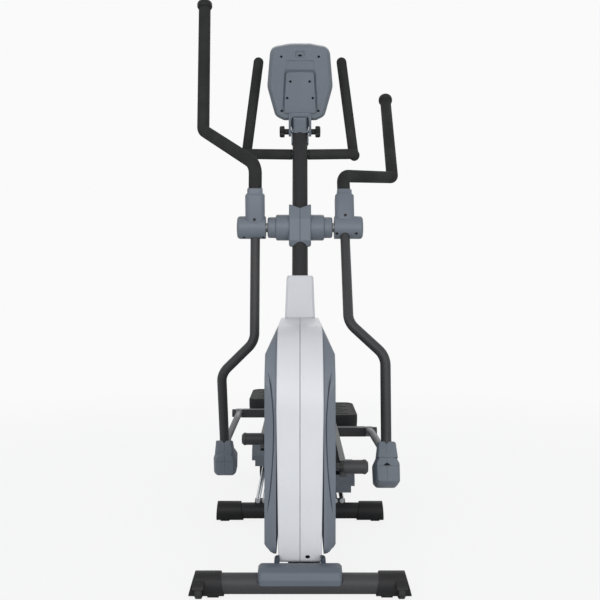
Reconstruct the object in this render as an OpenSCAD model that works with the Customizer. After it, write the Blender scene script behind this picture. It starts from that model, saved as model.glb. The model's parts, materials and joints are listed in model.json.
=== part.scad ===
// Front-drive elliptical trainer with swing arms, a fixed pulse bar and roller rails.
// X points to the machine's right seen from its front, Y runs from the front foot back
// to the rider, Z is up. The floor is z = 0 and the origin is under the middle of the box.

/* [Feet] */
// Width of the front foot over its end caps
front_foot_w = 508; // [440:1:600]
// Width of the rear foot over its end caps
rear_foot_w = 500; // [440:1:600]
// Diameter of the round foot tubes
foot_tube_d = 47; // [42:1:50]
// Distance from the front foot's axis to the rear foot's axis
foot_spacing = 609; // [580:1:640]
// Length of a foot end cap
foot_cap_len = 72; // [50:1:90]
// Radius of a transport wheel
wheel_r = 18; // [15:1:22]
// Width of a transport wheel
wheel_w = 17; // [12:1:22]
// Distance of each transport wheel from the middle plane
wheel_x = 230; // [222:1:234]

/* [Drive] */
// Radius from the crank axle to a crank pin, half of the stride
crank_r = 180; // [150:1:190]
// Height of the crank axle above the floor
crank_z = 265; // [245:1:280]
// Distance of the crank axle behind the front foot's axis
crank_back = 317; // [300:1:330]
// Diameter of the crank axle
crank_axle_d = 20; // [16:1:25]
// Diameter of the crank pins
crank_pin_d = 16; // [12:1:20]
// Radius of the flywheel
flywheel_r = 98; // [80:1:104]
// Width of the flywheel
flywheel_w = 26; // [16:1:30]
// Radius of the pulley on the crank axle
drive_pulley_r = 120; // [90:1:130]
// Radius of the pulley on the flywheel
small_pulley_r = 20; // [18:1:30]

/* [Shroud] */
// Length of the shroud
shroud_len = 640; // [620:1:670]
// Height of the shroud's top
shroud_top = 610; // [590:1:630]
// Full width of the white centre shells
shroud_w = 112; // [104:1:116]
// Full width over the side panels
panel_w = 170; // [160:1:172]
// Wall thickness of the shells and panels
shell_wall = 3; // [2:0.5:4]

/* [Mast] */
// Diameter of the mast tube
mast_d = 49; // [44:1:54]
// Lean of the mast to the rear
mast_lean = 21; // [17:1:24]
// Height of the mast's top above the swing arms' pivot
mast_above = 313; // [300:1:325]
// Diameter of the pivot axle
pivot_d = 30; // [26:1:34]

/* [Swing arms] */
// Length from the pivot axle to the lower pivot
arm_len = 761; // [750:1:775]
// Angle of the forward arm from the vertical
arm_forward = 22.5; // [20:0.5:24]
// Height of the lower pivot above the floor with its arm forward
low_pivot_z = 184; // [178:1:190]
// How much farther the arm's lower end travels than the foot beam
arm_extra = 17.4; // [16:0.1:20]
// How far the arms' knees stand ahead of the line between their pivots
arm_knee = 88; // [70:1:95]
// Diameter of the lower arm tubes
arm_tube_d = 30; // [26:1:34]
// Distance of the upper arm tube from the middle plane
arm_x = 141; // [139:1:146]
// Distance of the lower arm tube from the middle plane
arm_low_x = 244; // [242:1:256]
// Diameter over the foam on the moving handles
handle_d = 42; // [36:1:44]
// Distance of the moving grips from the middle plane
handle_x = 338; // [325:1:345]

/* [Foot beams and pedals] */
// Height of the foot beams' axis
beam_z = 246; // [238:1:256]
// Height of a foot beam
beam_h = 40; // [30:1:44]
// Width of a foot beam
beam_w = 15; // [12:1:16]
// Distance of a crossbar behind the front foot's axis at the front end of the stride
crossbar_back = 721; // [712:1:728]
// Length of a pedal
pedal_len = 285; // [270:1:310]
// Width of a pedal
pedal_w = 155; // [140:1:156]
// Distance of a pedal's outer edge from the middle plane
pedal_out = 187; // [180:1:190]
// Diameter of the rail rods
rail_d = 14; // [12:1:16]
// Distance between the two rods of a rail
rail_pitch = 20; // [19:1:24]
// Distance of each rail from the middle plane
rail_x = 116; // [115:1:122]

/* [Handlebar and console] */
// Diameter over the foam of the fixed handlebar
bar_d = 34; // [31:0.5:36]
// Height of the fixed handlebar's cross bar above the swing arms' pivot
bar_above = 244; // [236:1:250]
// Height of the fixed handlebar's upper ends above its cross bar
bar_reach = 349; // [320:1:360]
// Width of the console
console_w = 212; // [196:1:224]
// Height of the console along its back
console_h = 278; // [265:1:290]
// Lean of the console's top to the front
console_lean = 24; // [15:1:30]

/* [Hidden] */

slate = [0.42, 0.45, 0.49];
dark = [0.22, 0.22, 0.23];
black = [0.12, 0.12, 0.13];
white = [0.84, 0.85, 0.86];
silver = [0.72, 0.73, 0.74];
foam = [0.2, 0.2, 0.2];

seg = 64;
eps = 0.01;

// Clearances
gap = 0.4;
run_gap = 0.05;
side_gap = 1;

// Both sides of the machine
LEFT = -1;
RIGHT = 1;

// Rear end of the machine before it is centred, then every place along Y
pedal_toe_back = 75;
stride = 2 * crank_r;
arm_rearward = asin((stride + arm_extra) / arm_len - sin(arm_forward));
pivot_z = low_pivot_z + arm_len * cos(arm_forward);
mast_top = pivot_z + mast_above;
// The link keeps one length at both ends of the stride: its run at the forward end
// follows from the extra travel and the extra drop of the swing arm's lower end.
extra_drop = arm_len * (cos(arm_rearward) - cos(arm_forward));
crossbar_z = beam_z;
rise = crossbar_z - low_pivot_z;
link_run = (extra_drop * extra_drop + arm_extra * arm_extra + 2 * rise * extra_drop)
    / (2 * arm_extra);
link_len = sqrt(link_run * link_run + rise * rise);
link_angle_front = atan2(rise, link_run);
link_angle_rear = atan2(rise + extra_drop, link_run - arm_extra);

pivot_back = crossbar_back - link_run + arm_len * sin(arm_forward);
heel_back = crossbar_back + pedal_toe_back + pedal_len + stride;
wheel_set = wheel_r + 2;
wheel_drop = 1;
hood_r = wheel_r + 6;
hood_low = 28;
hood_rise = hood_low - wheel_r - wheel_drop;
nose_ahead = wheel_set + sqrt(hood_r * hood_r - hood_rise * hood_rise);
front_y = (nose_ahead - heel_back) / 2;

rear_y = front_y + foot_spacing;
crank_y = front_y + crank_back;
pivot_y = front_y + pivot_back;
crossbar_y = front_y + crossbar_back;
foot_r = foot_tube_d / 2;
cap_skin = 4.5;
cap_r = foot_r + cap_skin;

pad_proud = 0.5;
foot_z = cap_r + pad_proud;
foot_top = foot_z + foot_r;

// Shifts of the two sides along the stride: the right one is at the front end
function stride_y(side) = side == RIGHT ? 0 : stride;
function arm_angle(side) = side == RIGHT ? -arm_forward : arm_rearward;
function link_angle(side) = side == RIGHT ? link_angle_front : link_angle_rear;

module sided(side) {
    mirror([side == LEFT ? 1 : 0, 0, 0]) children();
}

// Solid and profile helpers

module rounded_rect(size, r) {
    x = size[0] / 2;
    y = size[1] / 2;
    square([size[0] - 2 * r, size[1]], center = true);
    square([size[0], size[1] - 2 * r], center = true);
    for (i = [-1, 1], j = [-1, 1])
        translate([i * (x - r), j * (y - r)]) circle(r, $fn = seg);
}

// Cylinder along X between two values of x
module x_rod(x0, x1, r) {
    translate([x0, 0, 0]) rotate([0, 90, 0]) cylinder(h = x1 - x0, r = r, $fn = seg);
}

// Plate with a side-view outline (y, z), extruded along X between two values of x
module x_plate(x0, x1) {
    translate([x0, 0, 0]) rotate([90, 0, 90]) linear_extrude(x1 - x0) children();
}

function unit(v) = v / norm(v);

function wrap(a) = a > 180 ? a - 360 : a < -180 ? a + 360 : a;

// Points of an arc of radius r that rounds corner q between p and s
function fillet(p, q, s, r, n = 5) =
    let (u = unit(p - q), v = unit(s - q), inner = acos(u * v),
        cut = r / tan(inner / 2), centre = q + unit(u + v) * r / sin(inner / 2),
        a = q + u * cut - centre, b = q + v * cut - centre,
        from = atan2(a[1], a[0]), turn = wrap(atan2(b[1], b[0]) - from))
    [for (i = [0 : n]) centre + r * [cos(from + turn * i / n), sin(from + turn * i / n)]];

// Outline with each corner rounded by its own radius, or left sharp where it is 0
function rounded(points, radii) = [for (i = [0 : len(points) - 1])
    let (n = len(points), r = radii[i])
    each r == 0 ? [points[i]]
        : fillet(points[(i + n - 1) % n], points[i], points[(i + 1) % n], r)];

// Right half of an outline and its mirror image on the left
function both_sides(half) = concat(half, [for (i = [len(half) - 1 : -1 : 0])
    [-half[i][0], half[i][1]]]);

// Straight rod between two points
module rod(a, b, r) {
    d = b - a;
    translate(a) rotate([0, acos(d[2] / norm(d)), atan2(d[1], d[0])])
        cylinder(h = norm(d), r = r, $fn = seg);
}

// Length that a bend of radius bend takes from each leg at corner q
function bend_cut(p, q, s, bend) =
    let (inner = acos(unit(p - q) * unit(s - q))) bend / tan(inner / 2);

// How far an elbow reaches into the rods beside it, and how much thinner it is, so that
// the two join along one clean circle
elbow_reach = 1.5;
elbow_under = 0.03;

// Arc that joins the two legs at corner q
module elbow(p, q, s, bend, r) {
    u = unit(p - q);
    v = unit(s - q);
    inner = acos(u * v);
    centre = q + unit(u + v) * bend / sin(inner / 2);
    start = unit(q + u * bend / tan(inner / 2) - centre);
    normal = unit(cross(v, u));
    side = cross(normal, start);
    more = atan(elbow_reach / bend);
    multmatrix([
        [start[0], side[0], normal[0], centre[0]],
        [start[1], side[1], normal[1], centre[1]],
        [start[2], side[2], normal[2], centre[2]],
        [0, 0, 0, 1]])
        rotate([0, 0, -more]) rotate_extrude(angle = 180 - inner + 2 * more, $fn = 2 * seg)
            translate([bend, 0]) circle(r - elbow_under, $fn = seg);
}

// Round rod along a list of points, with its bend radius or one for each inner point
module bent_rod(points, bends, r) {
    last = len(points) - 1;
    function bend(i) = is_list(bends) ? bends[i - 1] : bends;
    for (i = [0 : last - 1]) {
        a = points[i];
        b = points[i + 1];
        cut_a = i == 0 ? 0 : bend_cut(points[i - 1], a, b, bend(i));
        cut_b = i == last - 1 ? 0 : bend_cut(a, b, points[i + 2], bend(i + 1));
        rod(a + unit(b - a) * cut_a, b - unit(b - a) * cut_b, r);
    }
    for (i = [1 : last - 1])
        elbow(points[i - 1], points[i], points[i + 1], bend(i), r);
}

// Feet

module foot_tube_solid(width, cap_end) {
    wall = 2;
    half = width / 2 - cap_end;
    difference() {
        x_rod(-half, half, foot_r);
        x_rod(-half - 1, half + 1, foot_r - wall);
    }
}

module front_stabilizer() color(dark) translate([0, front_y, foot_z])
    foot_tube_solid(front_foot_w, front_cap_end);

// The rear foot also carries two saddles for the rails' front ends
module rear_stabilizer() color(dark) {
    translate([0, rear_y, foot_z]) foot_tube_solid(rear_foot_w, rear_cap_end);
    for (side = [-1, 1]) rail_saddle(side, rear_y);
}

module rail_saddle(side, y) {
    translate([side * rail_x, y, 0]) difference() {
        translate([-saddle_half, -15, foot_z]) cube([2 * saddle_half, 30, rail_z - foot_z]);
        translate([-side * rail_x, 0, foot_z]) x_rod(-rail_foot_w, rail_foot_w, foot_r - 1);
        for (i = [-1, 1]) translate([i * rail_pitch / 2, -20, rail_z]) rotate([-90, 0, 0])
            cylinder(h = 40, r = rail_d / 2 + gap / 8, $fn = seg);
    }
}

// End cap on the right of a foot: a thicker round sleeve with a slanted inner rim
module foot_cap(width, lean, cap_end) {
    out = width / 2;
    difference() {
        intersection() {
            translate([0, 0, foot_z]) x_rod(out - foot_cap_len - 10, out, cap_r);
            translate([0, cap_r + 1, 0]) rotate([90, 0, 0]) linear_extrude(2 * cap_r + 2)
                polygon([[out - foot_cap_len - 8, -1], [out, -1], [out, 8],
                    [out - lean, foot_z + cap_r + 1], [out - foot_cap_len, foot_z + cap_r + 1]]);
        }
        translate([0, 0, foot_z]) x_rod(out - foot_cap_len - 20, out - cap_end + gap,
            foot_r + run_gap);
    }
}

// Flat pad under an end cap, on which the machine rests
pad_l = 24;
pad_w = 26;
pad_h = 4.4;

module foot_pad(x) translate([x, -pad_l / 2, 0]) cube([pad_w, pad_l, pad_h]);

hood_wall = 3;
hood_in = wheel_x - wheel_w / 2 - side_gap - hood_wall;
hood_out = wheel_x + wheel_w / 2 + side_gap + hood_wall;
wheel_pin_r = 4;
front_cap_end = front_foot_w / 2 - hood_in + 2;
rear_cap_end = 12;
front_pad_x = hood_in - pad_w - 6;
rear_pad_x = rear_foot_w / 2 - pad_w - 12;

// Front cap with the hood of a transport wheel and the wheel's pin
module front_cap() {
    slot_in = wheel_x - wheel_w / 2 - side_gap;
    slot_w = wheel_w + 2 * side_gap;
    hub = [0, -wheel_set, wheel_r + wheel_drop];
    difference() {
        union() {
            foot_cap(front_foot_w, 14, front_cap_end);
            foot_pad(front_pad_x);
            intersection() {
                translate(hub) x_rod(hood_in, hood_out, hood_r);
                translate([hood_in, -wheel_set - hood_r, hood_low])
                    cube([hood_out - hood_in, hood_r + 20, hood_r]);
            }
        }
        translate(hub) x_rod(slot_in, slot_in + slot_w, wheel_r + 1.5);
        translate([slot_in, -wheel_set - hood_r - 1, -1])
            cube([slot_w, hood_r + wheel_r - 2, wheel_r + wheel_drop + 1]);
    }
    translate(hub) x_rod(slot_in - 2, slot_in + slot_w + 2, wheel_pin_r);
}

module front_cap_left() color(dark) translate([0, front_y, 0]) sided(LEFT) front_cap();
module front_cap_right() color(dark) translate([0, front_y, 0]) sided(RIGHT) front_cap();

module transport_wheel(side) {
    color(black) translate([0, front_y - wheel_set, wheel_r + wheel_drop]) sided(side) difference() {
        union() {
            x_rod(wheel_x - wheel_w / 2 + 2, wheel_x + wheel_w / 2 - 2, wheel_r);
            x_rod(wheel_x - wheel_w / 2, wheel_x + wheel_w / 2, wheel_r - 3);
        }
        x_rod(wheel_x - wheel_w, wheel_x + wheel_w, wheel_pin_r + run_gap);
    }
}

module transport_wheel_left() transport_wheel(LEFT);
module transport_wheel_right() transport_wheel(RIGHT);

// Rails and their rear foot
rail_z = foot_top + rail_d / 2 + 3;
roller_r = 18;
carriage_len = 150;
carriage_front = crossbar_y - carriage_len * 0.62;
roller_y = carriage_front + carriage_len / 2;
rail_start = rear_y - 18;
rail_end = roller_y + stride + carriage_len / 2 + 50;
rail_foot_y = rail_end - 26;
saddle_half = 19;
rail_foot_w = 2 * (rail_x + saddle_half + 5);

module rear_caps() color(dark) for (side = [LEFT, RIGHT]) {
    translate([0, rear_y, 0]) sided(side) {
        foot_cap(rear_foot_w, 3, rear_cap_end);
        foot_pad(rear_pad_x);
    }
    translate([0, rail_foot_y, 0]) sided(side) rail_foot_cap();
}

module rail_foot_cap() {
    out = rail_foot_w / 2 + 6;
    foot_pad(out - pad_w - 2);
    translate([0, 0, foot_z]) difference() {
        x_rod(out - 10, out, cap_r);
        x_rod(out - 11, rail_foot_w / 2 + gap, foot_r + run_gap);
    }
}

module rail_foot() color(dark) {
    translate([0, rail_foot_y, foot_z]) difference() {
        x_rod(-rail_foot_w / 2, rail_foot_w / 2, foot_r);
        x_rod(-rail_foot_w / 2 - 1, rail_foot_w / 2 + 1, foot_r - 2);
    }
    for (side = [-1, 1]) rail_saddle(side, rail_foot_y);
}

module rails(side) {
    color(silver) sided(side) for (i = [-1, 1])
        translate([rail_x + i * rail_pitch / 2, rail_start, rail_z]) rotate([-90, 0, 0])
            cylinder(h = rail_end - rail_start, r = rail_d / 2, $fn = seg);
}

module rails_left() rails(LEFT);
module rails_right() rails(RIGHT);

// Main frame: spine, crank bearing, flywheel fork, mast socket and rail saddles
spine_w = 44;
spine_h = 42;
spine_z = 11;
spine_top = spine_z + spine_h;
bearing_len = 58;
bearing_r = 20;
flywheel_y = crank_y - 158;
flywheel_z = crank_z + 44;
flywheel_x = -8;
pulley_x = spine_w / 2 + 8;
pulley_w = 12;
lean_dir = [0, sin(mast_lean), cos(mast_lean)];
pivot = [0, pivot_y, pivot_z];
mast_foot = pivot - lean_dir * (pivot_z - spine_top) / cos(mast_lean);
mast_end = pivot + lean_dir * (mast_top - pivot_z) / cos(mast_lean);
socket_len = 150;
axle_r = 8;
fork_t = 4;

// Pin of the magnet bracket, below and behind the flywheel, and the arc of its magnets
magnet_arc = 36;
magnet_gap = 6;
magnet_t = 12;
magnet_half = 9;
magnet_pin_r = 4;
magnet_reach = flywheel_r + magnet_gap + magnet_t + 4;
magnet_pin_y = flywheel_y + magnet_reach / 2;
magnet_pin_z = flywheel_z - magnet_reach * sqrt(3) / 2;

module main_frame() color(black) {
    // Spine tube between the two feet, coped onto their round tubes
    difference() {
        translate([-spine_w / 2, front_y + 8, spine_z]) cube([spine_w, foot_spacing - 16, spine_h]);
        translate([3 - spine_w / 2, front_y, spine_z + 3])
            cube([spine_w - 6, foot_spacing, spine_h - 6]);
        for (y = [front_y, rear_y]) translate([0, y, foot_z])
            x_rod(-spine_w, spine_w, foot_r + gap / 8);
    }
    crank_bearing();
    flywheel_fork();
    mast_socket();
}

module crank_bearing() {
    difference() {
        union() {
            translate([0, crank_y, crank_z]) x_rod(-bearing_len / 2, bearing_len / 2, bearing_r);
            for (x = [-spine_w / 2, spine_w / 2 - 6]) x_plate(x, x + 6) polygon([
                [crank_y - 60, spine_top - 2], [crank_y + 60, spine_top - 2],
                [crank_y + 17, crank_z], [crank_y - 17, crank_z]]);
        }
        translate([0, crank_y, crank_z])
            x_rod(-bearing_len, bearing_len, crank_axle_d / 2 + run_gap);
    }
}

// Two plates that hold the flywheel's fixed axle, the right one outboard of its pulley
module flywheel_fork() {
    left_x = flywheel_x - flywheel_w / 2 - 4;
    right_x = pulley_x + pulley_w + 3;
    lug_x = magnet_half + 0.8;
    for (x = [left_x - fork_t, right_x]) x_plate(x, x + fork_t) polygon([
        [flywheel_y - 40, spine_z + 8], [flywheel_y + 40, spine_z + 8],
        [flywheel_y + 15, flywheel_z + 14], [flywheel_y - 15, flywheel_z + 14]]);
    translate([left_x - fork_t, flywheel_y - 40, spine_z + 8])
        cube([right_x - left_x + 2 * fork_t, 80, 8]);
    translate([0, flywheel_y, flywheel_z]) x_rod(left_x - fork_t - 3, right_x + fork_t, axle_r);
    // Two lugs and the pin of the magnet bracket
    for (x = [flywheel_x - lug_x - fork_t, flywheel_x + lug_x]) x_plate(x, x + fork_t) polygon([
        [magnet_pin_y - 14, spine_top - 2], [magnet_pin_y + 14, spine_top - 2],
        [magnet_pin_y + 8, magnet_pin_z + 8], [magnet_pin_y - 8, magnet_pin_z + 8]]);
    translate([0, magnet_pin_y, magnet_pin_z])
        x_rod(flywheel_x - lug_x - fork_t, flywheel_x + lug_x + fork_t, magnet_pin_r);
}

module mast_socket() {
    r = mast_d / 2;
    difference() {
        union() {
            rod(mast_foot - lean_dir * 6, mast_foot + lean_dir * socket_len, r + 4);
            translate([-spine_w / 2, mast_foot[1] - 60, spine_top - 3])
                cube([spine_w, 130, 9]);
        }
        rod(mast_foot + lean_dir * 12, mast_foot + lean_dir * (socket_len + 1), r + run_gap);
        translate([-spine_w, mast_foot[1] - 100, spine_z - 40])
            cube([2 * spine_w, 240, spine_h + 40 - 3]);
    }
}

// Saddle cover that clips over the middle of the front foot
module saddle_cover() {
    w = 193;
    low = 31;
    top = foot_top + 16;
    skin = 4;
    out = foot_r + skin;
    color(slate) translate([0, front_y, 0]) difference() {
        union() {
            intersection() {
                translate([0, 60, (low + top) / 2]) rotate([90, 0, 0]) linear_extrude(120)
                    rounded_rect([w, top - low], 11);
                union() {
                    translate([0, 0, foot_z]) x_rod(-w, w, out);
                    x_plate(-w, w) polygon(rounded([[-out, foot_z], [out, foot_z], [out, top],
                        [8 - out, top], [-out, top - 16]], [0, 0, 4, 8, 10]));
                }
            }
            // Posts on both sides of the shroud's nose
            for (side = [-1, 1]) translate([side * (shroud_w / 2 - 2) - 6, foot_r + 0.5, foot_z + 12])
                cube([12, shroud_ahead - foot_r - 1.5, 37]);
        }
        translate([0, 0, foot_z]) x_rod(-w, w, foot_r + run_gap);
        translate([-w, -foot_r - run_gap, 0])
            cube([2 * w, 2 * (foot_r + run_gap), foot_z]);
        translate([-spine_w / 2 - gap, 0, 0])
            cube([spine_w + 2 * gap, 100, spine_z + spine_h + gap]);
    }
}

// Shroud: two white shells around the drive, with a tapered neck for the mast
shroud_ahead = 50;
shroud_y = front_y + shroud_ahead;
shroud_z = 58;
nose_r = 200;
back_r = 110;
taper_len = 55;

// Side-view outline of the shroud, drawn in by inset
module shroud_outline(inset) {
    y0 = shroud_y + inset;
    y1 = shroud_y + shroud_len - inset;
    z0 = shroud_z + inset;
    z1 = shroud_top - inset;
    rf = nose_r - inset;
    rb = back_r - inset;
    difference() {
        translate([y0, z0]) square([y1 - y0, z1 - z0]);
        difference() {
            translate([y0 - 1, z1 - rf]) square([rf + 1, rf + 1]);
            translate([y0 + rf, z1 - rf]) circle(rf, $fn = 2 * seg);
        }
        difference() {
            translate([y1 - rb, z1 - rb]) square([rb + 1, rb + 1]);
            translate([y1 - rb, z1 - rb]) circle(rb, $fn = 2 * seg);
        }
    }
}

neck_top = 736;
neck_z = 590;
neck_w = 81;

module shroud_shell() {
    half = shroud_w / 2;
    bevel = 5;
    difference() {
        intersection() {
            union() {
                x_plate(0.2, half - bevel) shroud_outline(0);
                x_plate(half - bevel - eps, half) shroud_outline(bevel);
            }
            shroud_taper(0);
        }
        intersection() {
            union() {
                x_plate(-1, half - bevel - eps) shroud_outline(shell_wall);
                x_plate(-1, half - shell_wall) shroud_outline(bevel + shell_wall);
            }
            shroud_taper(shell_wall);
        }
        // Opening for the mast and its neck collar
        translate([-1, 0, 0]) rod(mast_foot, mast_end, mast_d / 2 + 6);
        // Open underside over the spine
        translate([-1, shroud_y + 12, shroud_z - 5])
            cube([half - 4, shroud_len - 24, shell_wall + 10]);
        // Crank axle passage
        translate([0, crank_y, crank_z]) x_rod(-1, half + 1, crank_axle_d / 2 + 12);
    }
}

// Space that the shell keeps to: full width, but narrower at the foot of its nose
module shroud_taper(inset) {
    half = shroud_w / 2 - inset;
    translate([-1, shroud_y + taper_len + inset, 0])
        cube([half + 1, shroud_len, shroud_top + 1]);
    translate([0, shroud_y + taper_len + inset + eps, 0]) rotate([90, 0, 0])
        linear_extrude(taper_len + inset + 1) polygon([[-1, 0], [half - 8, 0],
            [half - 8, shroud_z], [half, shroud_z + 42], [half, shroud_top + 1],
            [-1, shroud_top + 1]]);
}

module shroud_left() color(white) sided(LEFT) shroud_shell();
module shroud_right() color(white) sided(RIGHT) difference() {
    shroud_shell();
    inlet_cut();
}

// Slate side panels with the round recess in which a crank arm turns
recess_r = crank_r + 34;
recess_floor = 62;

panel_in = 12;
panel_tip = shroud_top - 8;
panel_shoulder = shroud_top - 66;

module panel_outline(inset) {
    intersection() {
        shroud_outline(panel_in + inset);
        translate([shroud_y, shroud_z]) square([shroud_len, shroud_top]);
    }
}

// A panel's plate in three steps that thin out to the front, the rear and the top
module panel_body(grow) {
    x0 = shroud_w / 2 + 0.3;
    x1 = panel_w / 2 - grow;
    y0 = shroud_y + panel_in;
    y1 = shroud_y + shroud_len - panel_in;
    intersection() {
        x_plate(x0, x1) panel_outline(grow);
        translate([0, 0, shroud_z]) linear_extrude(shroud_top) polygon([
            [0, y0], [x0 + 12 - grow, y0], [x1 - 4, y0 + 10], [x1, y0 + 24],
            [x1, y1 - 110], [x0 + 4, y1], [0, y1]]);
        translate([0, shroud_y + shroud_len, 0]) rotate([90, 0, 0]) linear_extrude(shroud_len)
            polygon([[0, shroud_z], [x0 + 4 - grow, shroud_z], [x0 + 4 - grow, shroud_z + 17],
                [x1, shroud_z + 38], [x1, panel_shoulder], [x0 + 1, panel_tip], [0, panel_tip]]);
    }
}

module panel_shell() {
    x0 = shroud_w / 2 + 0.3;
    x1 = panel_w / 2;
    difference() {
        panel_body(0);
        // Hollow behind the skin, kept away from the recess
        difference() {
            translate([-2, 0, 0]) panel_body(shell_wall);
            translate([0, crank_y, crank_z]) x_rod(0, x1, recess_r + shell_wall);
        }
        translate([0, crank_y, crank_z]) x_rod(recess_floor, x1 + 1, recess_r);
        translate([0, crank_y, crank_z]) x_rod(x0 - 1, x1 + 1, crank_axle_d / 2 + 3);
    }
}

module side_panel_left() color(slate) sided(LEFT) panel_shell();
module side_panel_right() color(slate) sided(RIGHT) panel_shell();

// White collar that closes the shroud's neck around the mast
module neck_collar() {
    base = pivot + lean_dir * (neck_z - 2 - pivot_z) / cos(mast_lean);
    wall = 3;
    half = neck_w / 2;
    color(white) difference() {
        intersection() {
            translate([0, 0, shroud_top + 0.3]) linear_extrude(neck_top - shroud_top)
                translate([0, pivot_y - 240]) square([neck_w + 8, 600], center = true);
            x_plate(-half - 3, half + 3) polygon([
                [neck_y(shroud_top) - 62, shroud_top], [neck_y(shroud_top) + 58, shroud_top],
                [neck_y(neck_top) + 32, neck_top], [neck_y(neck_top) - 34, neck_top]]);
            translate([0, pivot_y + 200, 0]) rotate([90, 0, 0]) linear_extrude(800) polygon([
                [-half - 3, shroud_top], [half + 3, shroud_top], [half - 1, neck_top - 6],
                [half - 6, neck_top], [6 - half, neck_top], [1 - half, neck_top - 6]]);
        }
        rod(base, mast_end, mast_d / 2 + run_gap + 0.5);
        intersection() {
            translate([-half + wall, pivot_y - 500, shroud_top - 1])
                cube([neck_w - 2 * wall, 800, neck_top - shroud_top - 12]);
            x_plate(-half, half) polygon([
                [neck_y(shroud_top) - 58, shroud_top - 1], [neck_y(shroud_top) + 54, shroud_top - 1],
                [neck_y(neck_top) + 28, neck_top - 12], [neck_y(neck_top) - 30, neck_top - 12]]);
        }
    }
}

function neck_y(z) = pivot_y + (z - pivot_z) * tan(mast_lean);

// Power inlet low on the shroud's front
inlet_x = 18;
inlet_z = shroud_z + 15;
inlet_r = 4.4;

module inlet_cut() {
    translate([inlet_x, shroud_y - 5, inlet_z]) rotate([-90, 0, 0])
        cylinder(h = 20, r = inlet_r + run_gap, $fn = seg);
}

module power_inlet() color(black) translate([inlet_x, shroud_y - 1.5, inlet_z])
    rotate([-90, 0, 0]) difference() {
        union() {
            cylinder(h = 14, r = inlet_r, $fn = seg);
            cylinder(h = 1.4, r = inlet_r + 1.2, $fn = seg);
        }
        translate([0, 0, -1]) cylinder(h = 11, r = 2.8, $fn = seg);
    }

// Mast and pivot

module mast() color(dark) difference() {
    union() {
        rod(mast_foot + lean_dir * 14, mast_end, mast_d / 2);
        translate(pivot) x_rod(-36, 36, pivot_d / 2 + 6);
    }
    rod(mast_foot, mast_end - lean_dir * 4, mast_d / 2 - 2);
    translate(pivot) x_rod(-40, 40, pivot_d / 2 + run_gap);
    bar_core(0.1);
}

axle_half = arm_x + 52;

module pivot_axle() color(silver) translate(pivot) x_rod(-axle_half, axle_half, pivot_d / 2);

hub_half = 35;
hub_mid = 76.5;
hub_end = 102;

// Half of the cover over the mast's pivot: a block with two steps of barrel
module hub_cover() {
    body_r = 42;
    end_r = 33;
    top = 72;
    low = 64;
    difference() {
        union() {
            intersection() {
                x_plate(0.2, hub_half) hub_outline(top, low);
                translate([0, 60, 0]) rotate([90, 0, 0]) linear_extrude(120) polygon([
                    [0, -low], [hub_half, -low + 4], [hub_half, top], [hub_half - 3, top + 2],
                    [0, top - 12]]);
            }
            x_rod(hub_half - eps, hub_mid - 6, body_r);
            translate([hub_mid - 6 - eps, 0, 0]) rotate([0, 90, 0])
                cylinder(h = 6, r1 = body_r, r2 = body_r - 5, $fn = seg);
            x_rod(hub_mid - eps, hub_end - 5, end_r);
            translate([hub_end - 5 - eps, 0, 0]) rotate([0, 90, 0])
                cylinder(h = 5, r1 = end_r, r2 = end_r - 4, $fn = seg);
        }
        x_rod(-1, 36 + gap, pivot_d / 2 + 6 + gap);
        x_rod(36, hub_end + 1, pivot_d / 2 + gap);
        rod(-lean_dir * 200, lean_dir * 200, mast_d / 2 + gap);
    }
}

module hub_outline(top, low) {
    polygon([[-46, -44], [-34, -low], [34, -low], [46, -50], [46, 30], [40, top], [-30, top],
        [-46, 22]]);
}

module hub_cover_left() color(slate) translate(pivot) sided(LEFT) hub_cover();
module hub_cover_right() color(slate) translate(pivot) sided(RIGHT) hub_cover();

// Fixed handlebar

bar_z = pivot_z + bar_above;
bar_top = bar_z + bar_reach;
bar_y = neck_y(bar_z);
bar_low_x = 183;
bar_high_x = 140;
bar_tube_d = 25;

// The bar sweeps back and up to its corners, so that the moving handles pass under it
bar_sweep = 55;
bar_rise = 10;
bar_back = 108;
bar_bend = 26;

function bar_points(side) = [
    [0, bar_y, bar_z],
    [side * bar_low_x, bar_y + bar_sweep, bar_z + bar_rise],
    [side * bar_low_x, bar_y + bar_back, bar_z + bar_rise - 4],
    [side * bar_high_x, bar_y + bar_back + 14, bar_top - 6]];

// How far each foam grip stays from the mast's axis, and how deep the tube enters it
grip_start = mast_d / 2 + 3;
grip_socket = 24;

module bar_core(grow) for (side = [-1, 1]) {
    p = bar_points(side);
    rod(p[0], p[0] + unit(p[1] - p[0]) * (grip_start + grip_socket + grow),
        bar_tube_d / 2 + grow / 10);
}

module pulse_bar() color(dark) bar_core(0);

module pulse_grip(side) {
    p = bar_points(side);
    tip = unit(p[3] - p[2]);
    color(foam) difference() {
        union() {
            bent_rod([p[0] + unit(p[1] - p[0]) * grip_start, p[1], p[2], p[3]], bar_bend,
                bar_d / 2);
            translate(p[3] - tip * 0.1) rotate([0, acos(tip[2]), atan2(tip[1], tip[0])])
                cylinder(h = 6, r1 = bar_d / 2 - 0.05, r2 = bar_d / 2 - 4, $fn = seg);
        }
        bar_core(0.1);
    }
}

module pulse_grip_left() pulse_grip(LEFT);
module pulse_grip_right() pulse_grip(RIGHT);

// Console: a yoke on the mast carries the housing on two knobs
tilt_up = 10;
tilt = mast_end + [0, 0, tilt_up];
yoke_half = 28;
ear_t = 7;
ear_half = yoke_half + 1.5 + ear_t;
knob_shaft_r = 5;

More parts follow.
